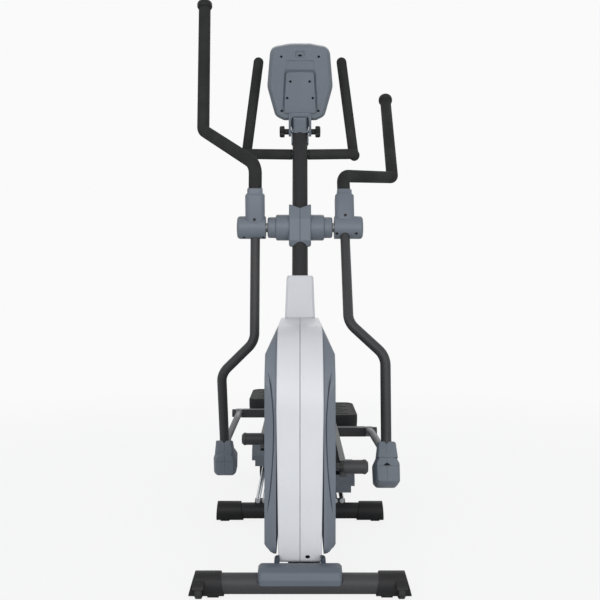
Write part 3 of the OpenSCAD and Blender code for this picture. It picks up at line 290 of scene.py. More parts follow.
def lcd_glass(name):
    """Display window: dark smoked glass over a faintly ruled greenish panel."""
    f = Finish(name)
    rule = f.add("ShaderNodeTexWave", settings={"bands_direction": "X"}, Vector=f.at, Scale=260.0)
    smear = f.step(f.noise(30.0, 5.0), 0.5, 0.8)
    tone = f.mix(rule * 0.3, linear((52, 60, 55)), linear((62, 72, 64)))
    return f.shade(Base_Color=tone, Roughness=0.12 + 0.25 * smear, Coat_Weight=0.6,
                   Coat_Roughness=0.05, Normal=f.bump(smear, 0.00002, 0.3))


def key_rubber(name, colour):
    """Silicone key: matt skin with a faint bloom and finger polish."""
    f = Finish(name)
    polish = f.step(f.noise(90.0, 4.0), 0.45, 0.7)
    base = np.array(linear(colour))
    tone = f.mix(polish * 0.5, tuple(base), tuple(base[:3] * 0.88) + (1.0,))
    return f.shade(Base_Color=tone, Roughness=0.62 - 0.15 * polish,
                   Normal=f.bump(f.noise(1500.0), 0.00008, 0.5))


SLATE = moulded_plastic("slate_plastic", (108, 115, 124), 0.45, depth=0.00007)
# Darker copy of the slate for the saddle alone: painted shade that offsets the light the low fill lamp
# throws on it
SLATE_SADDLE_SHADE = moulded_plastic("slate_plastic_saddle_shaded", (91, 98, 108), 0.5)
# Darker slate: the seam lines and saddle posts, and painted shade in the side panels' groove and in the
# gap behind the console's bracket
SLATE_DARK_AND_SHADE = moulded_plastic("slate_plastic_dark_and_shade", (58, 65, 76), 0.55, shine=0.2, dust=0.01)
WHITE = moulded_plastic("white_plastic", (208, 209, 213), 0.36, depth=0.00004, shade=0.95, coat=0.1)
BLACK = moulded_plastic("black_plastic", (37, 37, 38), 0.5, grain=1900.0, depth=0.0001, shine=0.2,
                        dust=0.006)
# Near-black: the power inlet's own black plastic, and painted shade inside screw wells, vent slots and
# the port slot
HOLE_SHADE_BLACK = moulded_plastic("socket_black_and_hole_shade", (16, 17, 20), 0.7, shine=0.1, dust=0.003)
PAINT = satin_paint("charcoal_paint", (60, 60, 61), 0.42, 0.22)
PAINT_DARK = satin_paint("black_paint", (45, 45, 46), 0.45, 0.15)
CHROME = drawn_metal("rail_chrome", (196, 200, 203), 0.16, (1.0, 0.02, 1.0), 0.1, 0.25)
STEEL = drawn_metal("axle_steel", (160, 161, 161), 0.32, (0.02, 1.0, 1.0), 0.16, 0.3)
LINK_PAINT = drawn_metal("link_silver", (124, 125, 126), 0.42, (1.0, 0.05, 1.0), 0.1, 0.15, 0.15)
IRON = drawn_metal("flywheel_iron", (140, 140, 141), 0.36, (1.0, 0.1, 0.1), 0.2, 0.5)
FOAM = closed_foam("grip_foam", (50, 50, 50))
RUBBER = wheel_rubber("wheel_rubber", (26, 26, 27))
TREAD = tread_plastic("pedal_plastic", (52, 52, 53))
SCREEN = lcd_glass("screen")
KEYS = key_rubber("button_rubber", (200, 203, 206))

# ---------------------------------------------------------------- surfaces


def unit(v):
    """Vectors scaled to length 1 along the last axis."""
    return v / np.linalg.norm(v, axis=-1, keepdims=True)


def corner_arcs(before, corner, after, radius, steps):
    """Arcs that round corners: the spoke from the arc's centre to its first touch point turns
    evenly onto the spoke to its last one (weights sin((1-t)a)/sin(a) and sin(ta)/sin(a))."""
    u, v = unit(before - corner), unit(after - corner)
    inner = np.arccos(np.clip((u * v).sum(-1), -1, 1))[:, None]
    cut = radius[:, None] / np.tan(inner / 2)
    centre = corner + unit(u + v) * (radius[:, None] / np.sin(inner / 2))
    first, last = corner + u * cut - centre, corner + v * cut - centre
    turn = (np.pi - inner)[:, None]
    t = np.linspace(0, 1, steps + 1)[None, :, None]
    return (centre[:, None] + first[:, None] * np.sin((1 - t) * turn) / np.sin(turn)
            + last[:, None] * np.sin(t * turn) / np.sin(turn))


def rounded_outline(points, radii, steps=6):
    """Closed outline with each corner rounded by its own radius."""
    p = np.array(points, float)
    r = np.broadcast_to(np.array(radii, float), (len(p),))
    arcs = corner_arcs(np.roll(p, 1, 0), p, np.roll(p, -1, 0), r, steps)
    return arcs.reshape(-1, p.shape[1])


def rounded_path(points, radii, steps=14):
    """Open path in space with its inner corners rounded."""
    p = np.array(points, float)
    r = np.broadcast_to(np.array(radii, float), (len(p) - 2,))
    arcs = corner_arcs(p[:-2], p[1:-1], p[2:], r, steps).reshape(-1, 3)
    return np.vstack([p[:1], arcs, p[-1:]])


def mirrored(half):
    """Right half of an outline, from bottom to top, joined to its mirror image."""
    half = np.array(half, float)
    return np.vstack([half, half[::-1] * (-1, 1)])


def offset(outline, inset):
    """Outline moved inwards by inset along the mean of its two edges' normals at each point."""
    ahead = unit(np.roll(outline, -1, 0) - outline)
    behind = np.roll(ahead, 1, 0)
    normal = unit(ahead + behind)
    normal = np.stack([normal[:, 1], -normal[:, 0]], 1)
    area = (outline[:, 0] * np.roll(outline[:, 1], -1)
            - outline[:, 1] * np.roll(outline[:, 0], -1)).sum()
    spread = np.clip((normal * np.stack([ahead[:, 1], -ahead[:, 0]], 1)).sum(1), 0.4, 1)
    return outline - np.sign(area) * normal * (inset / spread)[:, None]


def ring_faces(count, around, first=0):
    """Four-sided faces between rings of points that follow each other, each ring closed."""
    i = np.arange(count - 1)[:, None] * around
    j = np.arange(around)[None, :]
    k = (j + 1) % around
    quads = np.stack([i + j, i + k, i + around + k, i + around + j], -1)
    return quads.reshape(-1, 4) + first


def outward(points, faces, caps):
    """Faces turned so that the closed shell's volume, summed over its facets, is positive."""
    fans = [faces[:, [0, 1, 2]], faces[:, [0, 2, 3]]]
    for cap in caps:
        fans.append(np.stack([np.full(len(cap) - 2, cap[0]), cap[1:-1], cap[2:]], 1))
    tri = points[np.vstack(fans)]
    volume = np.einsum("ij,ij->i", tri[:, 0], np.cross(tri[:, 1], tri[:, 2])).sum()
    if volume < 0:
        faces, caps = faces[:, ::-1], [cap[::-1] for cap in caps]
    return faces, caps


def tube(rings):
    """Closed solid through rings of points (rings, points, 3), with flat ends."""
    count, around = rings.shape[:2]
    points = rings.reshape(-1, 3)
    caps = [np.arange(around)[::-1], np.arange(around) + (count - 1) * around]
    faces, caps = outward(points, ring_faces(count, around), caps)
    return points, faces, caps


def sweep(path, profile, sides=40, lean=(0.52, -0.6, 0.61)):
    """Round body along a path: profile lists (distance, radius); a ring stands square to the
    path at each of its points and each profile distance, r cos(a) n + r sin(a) b from the axis."""
    path = np.array(path, float)
    lengths = np.concatenate([[0], np.cumsum(np.linalg.norm(np.diff(path, axis=0), axis=1))])
    profile = np.array(profile, float)
    s = np.unique(np.concatenate([lengths, profile[:, 0]]))
    s = s[(s >= profile[0, 0]) & (s <= profile[-1, 0])]
    s = s[np.concatenate([[True], np.diff(s) > 1e-3])]
    at = np.stack([np.interp(s, lengths, path[:, i]) for i in range(3)], 1)
    ahead = np.stack([np.interp(s + 0.5, lengths, path[:, i]) - np.interp(s - 0.5, lengths, path[:, i])
                      for i in range(3)], 1)
    ahead = unit(ahead)
    lean = np.array(lean)
    n = unit(lean - (ahead @ lean)[:, None] * ahead)
    b = np.cross(ahead, n)
    a = np.linspace(0, 2 * np.pi, sides, endpoint=False)[None, :, None]
    r = np.interp(s, profile[:, 0], profile[:, 1])[:, None, None]
    return tube(at[:, None] + r * (np.cos(a) * n[:, None] + np.sin(a) * b[:, None]))


def lathe(profile, sides=56, centre=(0, 0, 0), axis="x"):
    """Round body turned about an axis: profile lists (place along the axis, radius)."""
    along, r = np.array(profile, float).T
    a = np.linspace(0, 2 * np.pi, sides, endpoint=False)
    rings = np.stack([along[:, None] + 0 * a, r[:, None] * np.cos(a), r[:, None] * np.sin(a)], -1)
    order = {"x": [0, 1, 2], "y": [2, 0, 1], "z": [1, 2, 0]}[axis]
    return tube(rings[..., order] + np.array(centre, float))


def loft(outline, stations, place):
    """Body whose cross-section is one outline drawn in by each station's inset at its depth;
    place turns (outline x, outline y, depth) into space."""
    rings = np.stack([np.column_stack([offset(outline, inset) if inset else outline,
                                       np.full(len(outline), float(depth))])
                      for depth, inset in stations])
    return tube(place(rings))


def round_edges(low, high, r, steps=4):
    """Stations of a block from low to high whose two end edges are rounded by r: depth and
    inset follow a quarter circle, r(1 - sin a) and r(1 - cos a)."""
    a = np.linspace(np.pi / 2, 0, steps + 1)
    start = [(low + r * (1 - np.cos(np.pi / 2 - t)), r * (1 - np.sin(np.pi / 2 - t))) for t in a]
    end = [(low + high - depth, inset) for depth, inset in start[::-1]]
    return start + end


def relief(top, bottom):
    """Slab between two grids of points (rows, columns, 3) with the same edge, closed round it."""
    rows, cols = top.shape[:2]
    grid = np.arange(rows * cols).reshape(rows, cols)
    quads = np.stack([grid[:-1, :-1], grid[1:, :-1], grid[1:, 1:], grid[:-1, 1:]], -1).reshape(-1, 4)
    edge = np.concatenate([grid[0, :-1], grid[:-1, -1], grid[-1, :0:-1], grid[:0:-1, 0]])
    after = np.roll(edge, -1)
    wall = np.stack([edge, after, after + rows * cols, edge + rows * cols], 1)
    points = np.vstack([top.reshape(-1, 3), bottom.reshape(-1, 3)])
    faces = np.vstack([quads, quads[:, ::-1] + rows * cols, wall])
    faces, _ = outward(points, faces, [])
    return points, faces, []


def plate(x, y, z, back):
    """Closed body over a plate grid: its face at y, ring by ring from the middle outwards, then
    the outline again at the back's y."""
    face = np.stack([x, y, z], -1)
    rear = np.stack([x[-1], np.full_like(x[-1], back), z[-1]], -1)
    return tube(np.concatenate([face, rear[None]]))


def ramp(value, low, high):
    """Smooth step from 0 at low to 1 at high: 3t squared less 2t cubed."""
    t = np.clip((value - low) / (high - low), 0, 1)
    return t * t * (3 - 2 * t)


def screw_head(at, normal, r=4.6, depth=1.6):
    """Pan head with a round socket: a short lathe body on a surface, pointing along normal."""
    normal = unit(np.array(normal, float))
    profile = [(-1.0, r), (depth * 0.4, r), (depth, r * 0.7), (depth, r * 0.42), (depth * 0.2, r * 0.36)]
    along, radius = np.array(profile).T
    a = np.linspace(0, 2 * np.pi, 20, endpoint=False)
    n = unit(np.cross(normal, (0.31, 0.47, 0.83)))
    b = np.cross(normal, n)
    rings = (np.array(at, float) + along[:, None, None] * normal
             + radius[:, None, None] * (np.cos(a)[None, :, None] * n + np.sin(a)[None, :, None] * b))
    return tube(rings)


def piece(name, parts, material, body, replaces=(), sharp=32):
    """One object from closed parts given in millimetres; it rides on a body of the frame."""
    points, faces, start = [], [], 0
    for pts, quads, caps in parts:
        points.append(np.asarray(pts) * MM)
        faces.extend((quads + start).tolist())
        faces.extend((cap + start).tolist() for cap in caps)
        start += len(pts)
    mesh = bpy.data.meshes.new(name)
    mesh.from_pydata(np.vstack(points), [], faces)
    mesh.materials.append(material)
    mesh.shade_smooth()
    mesh.set_sharp_from_angle(angle=np.radians(sharp))
    mesh.update()
    made = bpy.data.objects.new(name, mesh)
    scene.collection.objects.link(made)
    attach(made, body)
    if replaces:
        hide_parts(*replaces)
    return made


def shift(part, move):
    """A part moved by a vector."""
    pts, quads, caps = part
    return pts + np.array(move, float), quads, caps


def sided(part, side):
    """A right-hand part, or its mirror image with the faces turned back outwards."""
    pts, quads, caps = part
    if side == "right":
        return part
    return pts * (-1, 1, 1), quads[:, ::-1], [cap[::-1] for cap in caps]


def turned(part, angle, at):
    """A part turned about X by an angle in degrees, then moved to a place."""
    pts, quads, caps = part
    c, s = np.cos(np.radians(angle)), np.sin(np.radians(angle))
    turn = np.array([[1, 0, 0], [0, c, -s], [0, s, c]])
    return pts @ turn.T + np.array(at, float), quads, caps


def signed_distance(x, z, outline):
    """Distance of points to a closed outline, positive inside: the least distance to its
    edges, with the sign of how often a ray towards +x crosses them."""
    p = np.stack([x.ravel(), z.ravel()], 1)
    a, b = outline, np.roll(outline, -1, 0)
    edge = b - a
    t = np.clip(((p[:, None] - a) * edge).sum(-1) / (edge ** 2).sum(-1), 0, 1)
    gap = np.linalg.norm(p[:, None] - (a + t[..., None] * edge), axis=-1).min(1)
    high = (a[:, 1] > p[:, None, 1]) != (b[:, 1] > p[:, None, 1])
    rise = np.where(edge[:, 1] == 0, 1e-9, edge[:, 1])
    cross = p[:, None, 0] < a[:, 0] + (p[:, None, 1] - a[:, 1]) * edge[:, 0] / rise
    inside = (high & cross).sum(1) % 2 == 1
    return np.where(inside, gap, -gap).reshape(x.shape)


def plate_grid(outline, rings, around=480):
    """Grid over a closed outline: the outline at evenly spaced points of its length, drawn in
    towards its middle by each ring's share."""
    closed = np.vstack([outline, outline[:1]])
    lengths = np.concatenate([[0], np.cumsum(np.linalg.norm(np.diff(closed, axis=0), axis=1))])
    s = np.linspace(0, lengths[-1], around, endpoint=False)
    edge = np.stack([np.interp(s, lengths, closed[:, i]) for i in range(2)], 1)
    middle = outline.mean(0)
    grid = middle + rings[:, None, None] * (edge - middle)
    return grid[..., 0], grid[..., 1]


def edge_round(distance, r, depth):
    """Drop of a rounded edge: a quarter ellipse of width r and that depth."""
    t = np.clip(1 - distance / r, 0, 1)
    return depth * (1 - np.sqrt(1 - t * t))


# ---------------------------------------------------------------- swing arms

PIVOT = joint_at("arm_right_swing") * (0, 1, 1)
ARM_ANGLE = {"right": -22.5, "left": 6.502}
ARM_LEN, ARM_X, LOW_X = 761.0, 141.0, 244.0


def on_arm(part, side):
    """A part drawn on the upright right arm, turned to a side's angle at rest."""
    return sided(turned(part, ARM_ANGLE[side], PIVOT), side)


def handle(side):
    """Foam sleeve swept along the handle's two bends, and the flared cap that ends it."""
    path = rounded_path([(ARM_X, -12, 61), (ARM_X, 24, 199), (329, 245, 317), (338, 424, 767)],
                        (58, 27))
    end = np.linalg.norm(np.diff(path, axis=0), axis=1).sum()
    path = np.vstack([path, path[-1] + 12 * unit(path[-1] - path[-2])])
    foam = sweep(path, [(0, 20.9), (end - 17, 20.9), (end - 15, 20.2)])
    cap = sweep(path, [(end - 16, 19), (end - 15.6, 21.2), (end - 12, 24.8), (end - 8, 26.7),
                       (end - 1, 26.9), (end + 4, 26.4), (end + 7.5, 24.6), (end + 9.4, 21.5),
                       (end + 9.9, 14)])
    piece(f"handle_foam_{side}", [on_arm(foam, side)], FOAM, f"arm_{side}",
          [f"handle_{side}"])
    piece(f"handle_cap_{side}", [on_arm(cap, side)], BLACK, f"arm_{side}")


def tee_housing(side):
    """Moulded tee: a lathe-turned barrel over the pivot and a crowned sleeve up the handle."""
    barrel = lathe([(107.5, 17), (107.5, 34.5), (109, 36), (188, 36), (192, 35.2), (195.5, 32.6),
                    (197.2, 29.5), (197.5, 27), (197.5, 24), (195.5, 23.5), (195.5, 10)])
    crowned = rounded_outline([(-30, -23), (-17, -31.5), (17, -31.5), (30, -23), (30, 28), (-30, 28)],
                              (9, 24, 24, 9, 13, 13), 8)
    stations = [(-26, 6), (-10, 0), (101, 0), (104.5, 1.2), (108, 5.2), (110, 6.2), (121, 6.6),
                (124, 7.4), (125, 9)]

    def place(rings):
        return np.stack([ARM_X + rings[..., 0], rings[..., 1], rings[..., 2]], -1)

    sleeve = turned(loft(crowned, stations, place), 3.0, (0, 0, 0))
    piece(f"tee_{side}", [on_arm(barrel, side), on_arm(sleeve, side)], SLATE, f"arm_{side}",
          [f"arm_housing_{side}"])
    low = unit(np.array([0, -19.9, -30.0]))
    screws = [((119, -25.5, 93), (-0.5, -1, 0)), ((163, -25.5, 93), (0.5, -1, 0)),
              ((142, -34.2, 27), (0, -1, 0)),
              ((115, -19.9, -30), low), ((176, -19.9, -30), low)]
    piece(f"tee_screws_{side}", [on_arm(screw_head(at, n, 4.4, 1.2), side) for at, n in screws],
          BLACK, f"arm_{side}")
    cap = lathe([(196.5, 22), (198.2, 21.4), (198.6, 8)])
    piece(f"tee_cap_{side}", [on_arm(cap, side)], BLACK, f"arm_{side}")


def both_sides(half):
    """Right half of an outline, or its radii, followed by the left half in turn."""
    return half + [(-p[0], p[1]) if isinstance(p, tuple) else p for p in half[::-1]]


def foot_cover(side):
    """Clam-shell cover around the lower pivot: a chamfered cup, open to the rear, whose
    shoulders rise into a sleeve round the arm tube; the halves meet in a line down the front."""
    low_x = 242.5
    cup = rounded_outline(both_sides([(26, -41), (36, -31), (37, 19), (29, 35), (22, 41)]),
                          both_sides([11, 11, 16, 11, 11]), 6)
    neck = rounded_outline(both_sides([(21, -23), (26.5, -17), (26, 23)]), both_sides([3, 3, 7]), 5)
    stations = [(-34, 9.4), (-33.2, 8.2), (-21, 0.7), (-18, 0), (32, 0), (33.6, 0.8),
                (34, 2.4), (34, 4), (-26, 4.4)]
    neck_stations = [(34, 0), (76, 0), (78.2, 0.6), (79.2, 2.2)]

    def place(rings):
        # the mouth's upper edge is cut back, to leave room for the link
        mouth = 0.5 * np.clip(rings[..., 1] - 15, 0, None) * ramp(rings[..., 2], 20, 34)
        return np.stack([low_x + rings[..., 0], rings[..., 2] - mouth, rings[..., 1] - ARM_LEN], -1)

    def neck_place(rings):
        flare = 1 + 0.16 * ramp(-rings[..., 2], -52, -36)
        slope = 0.35 * (rings[..., 1] + 23) * ramp(rings[..., 2], 60, 76)
        return np.stack([LOW_X + rings[..., 0] * flare, rings[..., 1] - 8,
                         rings[..., 2] - slope - ARM_LEN], -1)

    parts = [loft(cup, stations, place), loft(neck, neck_stations, neck_place)]
    piece(f"ankle_cover_{side}", [on_arm(p, side) for p in parts], SLATE, f"arm_{side}",
          [f"foot_cover_{side}"])

    def on_front(rings):
        return np.stack([low_x + rings[..., 0], rings[..., 2], rings[..., 1] - ARM_LEN], -1)

    line = rounded_outline([(-28.5, 9.2), (28.5, 9.2), (28.5, 10.1), (-28.5, 10.1)], 0.3, 2)
    parts = [loft(line, [(-34.12, 0.1), (-33, 0)], on_front)]
    for low, top, front in ((-31, 31, -34.12), (43, 76, -31.12)):
        line = rounded_outline([(-0.4, low), (0.4, low), (0.4, top), (-0.4, top)], 0.2, 2)
        parts.append(loft(line, [(front, 0.1), (front + 1.1, 0)], on_front))
    piece(f"ankle_line_{side}", [on_arm(p, side) for p in parts], SLATE_DARK_AND_SHADE, f"arm_{side}")
    # Near-black discs paint the shade inside the three vent slots; the right cover also gets a
    # near-black notch at its front
    parts = [screw_head((LOW_X + 26.4, -23, z - ARM_LEN), (1, -0.5, 0), 1.7, 0.5)
             for z in (58, 63.5, 69)]
    if side == "right":
        notch = rounded_outline([(-11.5, 10.2), (11.5, 10.2), (2.5, 18.2), (-2.5, 18.2)],
                                (0.8, 0.8, 2.2, 2.2), 3)
        parts.append(loft(notch, [(-34.2, 0.4), (-33, 0)], on_front))
    piece(f"ankle_vent_shade_{side}", [on_arm(p, side) for p in parts], HOLE_SHADE_BLACK, f"arm_{side}")


for each in SIDES:
    handle(each)
    tee_housing(each)
    foot_cover(each)

# ---------------------------------------------------------------- hub over the pivot


def hub(side):
    """Half of the hub's cover: a side-view outline lofted outwards from the seam, with a top
    that falls to the mast, and two steps of lathe-turned barrel."""
    outline = rounded_outline([(-46, -42), (-36, -64), (36, -64), (46, -50), (46, 30), (38, 73),
                               (-30, 73), (-46, 24)], (7, 6, 6, 6, 8, 5, 7, 10), 5)
    stations = [(0.35, 0.6), (0.9, 0)] + round_edges(-34.6, 34.6, 5)[6:]

    def place(rings):
        x, y, z = rings[..., 2], rings[..., 0], rings[..., 1]
        fall = 13 * (1 - x / 34.6) * ramp(z, 45, 70)
        foot = 5 * (x / 34.6) * ramp(-z, 48, 62)
        return np.stack([x, y, z - fall + foot], -1)

    barrel = lathe([(30, 41), (71, 41), (74, 39.8), (75.6, 37.4), (76.2, 34.6), (77.5, 33.4),
                    (97, 33), (100, 31.6), (101.7, 29), (102, 26), (102, 16.5)])
    parts = [loft(outline, stations, place), barrel]
    piece(f"hub_{side}", [sided(shift(p, PIVOT), side) for p in parts], SLATE, "frame",
          [f"hub_cover_{side}"])


for each in SIDES:
    hub(each)

# ---------------------------------------------------------------- shroud

SHROUD_Y, SHROUD_Z, SHROUD_TOP, SHROUD_LEN = FRONT + 50, 58.0, 610.0, 640.0
SHELL = 56.0


def shroud_half(side):
    """White half shell: the drive's side-view outline lofted from the middle seam to a rounded
    outer edge, narrowed towards the foot of its nose."""
    y0, y1 = SHROUD_Y, SHROUD_Y + SHROUD_LEN
    outline = rounded_outline([(y0, SHROUD_Z), (y1, SHROUD_Z), (y1, SHROUD_TOP), (y0, SHROUD_TOP)],
                              (9, 9, 109, 199), 26)
    stations = [(0.45, 1.0), (1.2, 0)] + round_edges(-SHELL, SHELL, 3.5)[6:]

    def place(rings):
        x, y, z = rings[..., 2], rings[..., 0], rings[..., 1]
        narrow = 0.1 * ramp(-z, -98, -SHROUD_Z) * ramp(-y, -y0 - 56, -y0 - 30)
        return np.stack([x * (1 - narrow), y, z], -1)

    piece(f"shell_{side}", [sided(loft(outline, stations, place), side)], WHITE, "frame",
          [f"shroud_{side}"])


CRANK = joint_at("crank_spin")
RECESS_R = 214.0


def side_panel(side):
    """Slate side panel on rings about the crank: the recess's floor and wall, then a face whose
    height over the shell is the least of four slopes. A groove's dark line, a thin tube of darker slate
    that paints the shade in the groove, bows over its front slope: x = 62 + k (z - 372)^2, with k
    steeper above than below."""
    around = 400
    y0, y1 = SHROUD_Y + 12, SHROUD_Y + SHROUD_LEN - 12
    outline = rounded_outline([(y0, SHROUD_Z + 12), (y1, SHROUD_Z + 12), (y1, SHROUD_TOP - 8),
                               (y0, SHROUD_TOP - 8)], (22, 22, 98, 188), 22)
    a = np.linspace(0, 2 * np.pi, around, endpoint=False)
    rays = np.stack([np.cos(a), np.sin(a)], 1)
    p, q = outline - CRANK[1:], np.roll(outline, -1, 0) - CRANK[1:]
    edge = q - p
    det = rays[:, None, 0] * edge[None, :, 1] - rays[:, None, 1] * edge[None, :, 0]
    det = np.where(np.abs(det) < 1e-9, 1e-9, det)
    reach = (p[None, :, 0] * edge[None, :, 1] - p[None, :, 1] * edge[None, :, 0]) / det
    along = (p[None, :, 0] * rays[:, None, 1] - p[None, :, 1] * rays[:, None, 0]) / det
    good = (reach > 0) & (along >= -1e-6) & (along <= 1 + 1e-6)
    edge_r = np.where(good, reach, np.inf).min(1)
    recess = np.minimum(RECESS_R, edge_r - 7)

    def at(radius):
        return CRANK[1] + radius * rays[:, 0], CRANK[2] + radius * rays[:, 1]

    def height(y, z):
        """Height of the face over the middle plane, before the edge is rounded."""
        front = 61.5 + 1.75 * (y - y0)
        rear = 60 + 0.24 * (y1 - y)
        top = 57.5 + 0.47 * (SHROUD_TOP - 8 - z)
        low = 62 + 1.0 * np.clip(z - SHROUD_Z - 12, 0, None)
        return np.minimum.reduce([np.full_like(y, 85.0), front, rear, top, low])

    rings = []
    floor = 62.0
    for radius, x in ((14.0, floor + 6), (26.0, floor + 6), (29.0, floor), (150.0, floor),
                      (RECESS_R - 9, floor), (RECESS_R - 4, floor + 1.4), (RECESS_R - 1.2, floor + 5)):
        y, z = at(radius * recess / RECESS_R)
        rings.append(np.stack([np.minimum(np.full(around, x), height(y, z)), y, z], 1))
    for share in (0.0, 0.006, 0.016):
        y, z = at(recess + (edge_r - recess) * share)
        rings.append(np.stack([height(y, z) - 1.4 * (1 - share / 0.016) ** 2, y, z], 1))
    for share in np.concatenate([np.linspace(0.04, 0.58, 16), np.linspace(0.6, 1.0, 22)]):
        y, z = at(recess + (edge_r - recess) * share)
        drop = edge_round((1 - share) * (edge_r - recess), 2.2, 2.0)
        rings.append(np.stack([np.maximum(height(y, z) - drop, SHELL + 0.6), y, z], 1))
    y, z = at(edge_r)
    rings.append(np.stack([np.full(around, SHELL + 0.3), y, z], 1))
    rings.append(np.stack([np.full(around, SHELL + 0.3), *at(np.full(around, 14.0))], 1))
    piece(f"panel_{side}", [sided(tube(np.array(rings)), side)], SLATE, "frame",
          [f"side_panel_{side}"])
    # the groove is a thin tube of darker slate: painted shade in the crease
    z = np.linspace(168, 506, 60)
    x = 62.5 + np.where(z > 372, 7.3e-4, 3.8e-4) * (z - 372) ** 2
    groove = np.stack([x, y0 + (x - 61.5) / 1.75 + 0.35, z], 1)
    line = sweep(groove, [(0, 0.3), (30, 1.5), (310, 1.5), (338, 0.3)], 12)
    piece(f"panel_groove_shade_{side}", [sided(line, side)], SLATE_DARK_AND_SHADE, "frame")


def neck_y(z):
    """Where the mast's axis passes a height."""
    return PIVOT[1] + (z - PIVOT[2]) * np.tan(np.radians(21))


def neck():
    """White collar round the mast: a chamfered rectangle carried up the mast's lean, each ring
    between the foot's size and the top's."""
    corner = rounded_outline([(-1, -1 + 0.16), (-1 + 0.16, -1), (1 - 0.16, -1), (1, -1 + 0.16),
                              (1, 1 - 0.16), (1 - 0.16, 1), (-1 + 0.16, 1), (-1, 1 - 0.16)],
                             0.05, 3)
    heights = np.array([610.3, 612, 670, 727, 731, 734, 735.6, 736])
    half_x = np.array([44.0, 45.0, 42.8, 41.0, 40.0, 38.0, 36.2, 32])
    half_y = np.array([59, 60, 46, 34.6, 34, 33, 32, 29])
    rings = np.stack([corner[None, :, 0] * half_x[:, None],
                      corner[None, :, 1] * half_y[:, None] + neck_y(heights)[:, None] - 1,
                      np.repeat(heights[:, None], len(corner), 1)], -1)
    piece("neck", [tube(rings)], WHITE, "frame", ["neck_collar"])


def saddle():
    """Cover over the front foot: its section lofted along X with rounded ends, its top edge
    hollowed and its lower edge bowed by parabolas."""
    outline = rounded_outline([(-27.2, 31), (-27.6, 44), (-22, 60), (-8, 68), (26, 68), (27.6, 31)],
                              (1.5, 10, 9, 8, 5, 1.5), 6)
    stations = round_edges(-96.5, 96.5, 10, 6)

    def place(rings):
        x, y, z = rings[..., 2], rings[..., 0], rings[..., 1]
        bow = 1 - (x / 96.5) ** 2
        return np.stack([x, y + FRONT, z - 2.2 * bow * ramp(z, 55, 68) - 2.2 * bow * ramp(-z, -40, -31)],
                        -1)

    # the saddle takes the darker copy of the slate: painted shade
    piece("saddle", [loft(outline, stations, place)], SLATE_SADDLE_SHADE, "frame",
          ["saddle_cover"])
    post = rounded_outline([(48, 40.5), (60, 40.5), (60, 73), (56, 77.5), (48, 77.5)],
                           (2, 2, 4, 4, 2), 3)
    posts = [loft(post, round_edges(24, 49.5, 2, 3), lambda g: np.stack(
        [g[..., 0], FRONT + g[..., 2], g[..., 1]], -1))]
    piece("saddle_posts", posts + [sided(p, "left") for p in posts], SLATE_DARK_AND_SHADE, "frame")


def inlet():
    """Power inlet: an oval collar whose rings turn in to a round bore with a pin at its end."""
    low, high = box_mm("power_inlet")
    x, z = (low[0] + high[0]) / 2, (low[2] + high[2]) / 2
    a = np.linspace(0, 2 * np.pi, 40, endpoint=False)
    rings = [np.stack([x + w * np.cos(a), np.full(40, SHROUD_Y + y), z + h * np.sin(a)], 1)
             for y, w, h in ((0.5, 5.4, 3.6), (-1.2, 5.4, 3.6), (-1.5, 5.1, 3.3), (-1.5, 2.9, 2.9),
                             (-1.2, 2.7, 2.7), (-0.3, 2.6, 2.6))]
    pin = lathe([(-0.6, 0.8), (-1.2, 0.8), (-1.4, 0.5)], 16, (x, SHROUD_Y, z), "y")
    piece("inlet", [tube(np.array(rings)), pin], HOLE_SHADE_BLACK, "frame", ["power_inlet"])


for each in SIDES:
    shroud_half(each)
    side_panel(each)
neck()
saddle()
inlet()

# ---------------------------------------------------------------- fixed bar


def pulse_grip(side):
    """Foam swept along the fixed bar's two bends, with a domed upper end."""
    y, z = neck_y(1131.0), 1131.0
    path = rounded_path([(0, y, z), (183, y + 55, z + 10), (183, y + 108, z + 6),
                         (140, y + 122, 1474)], (26, 26))
    end = np.linalg.norm(np.diff(path, axis=0), axis=1).sum()
    path = np.vstack([path, path[-1] + 7 * unit(path[-1] - path[-2])])
    a = np.linspace(0, 1.45, 7)
    dome = [(end - 11 + 16.8 * np.sin(t), 17 * np.cos(t)) for t in a]
    foam = sweep(path, [(27.6, 14), (27.7, 16.2), (28.6, 17), (end - 12, 17)] + dome)
    tip = unit(path[-1] - path[-2])
    plug = screw_head(path[-2] - tip * 10 + np.array([0.0, -16.9, 0.5]), (0, -1, 0), 3.2, 0.5)
    piece(f"bar_grip_{side}", [sided(foam, side)], FOAM, "frame",
          [f"pulse_grip_{side}"])
    piece(f"bar_plug_{side}", [sided(plug, side)], BLACK, "frame")


for each in SIDES:
    pulse_grip(each)

# ---------------------------------------------------------------- console

TILT = joint_at("console_tilt")
LEAN = 24.0


def on_console(part):
    """A part drawn in the console's own frame (x right, y to the rider, z along its back)."""
    return turned(part, LEAN, TILT)


LOW, TALL, WIDE = 38.0, 280.0, 106.0
HOUSING = rounded_outline(mirrored([(WIDE * 0.5, LOW), (WIDE * 0.76, LOW + 14),
                                    (WIDE, LOW + 110), (WIDE * 0.89, TALL - 11), (WIDE * 0.3, TALL)]),
                          (16, 26, 60, 27, 60, 60, 27, 60, 26, 16), 8)
SCREWS = [(59.5, 245), (59.5, 72), (30.7, 168), (41.3, 115)]


def on_back(rings):
    """Outlines drawn on the console's back, carried through its thickness."""
    return np.stack([rings[..., 0], rings[..., 2], rings[..., 1]], -1)


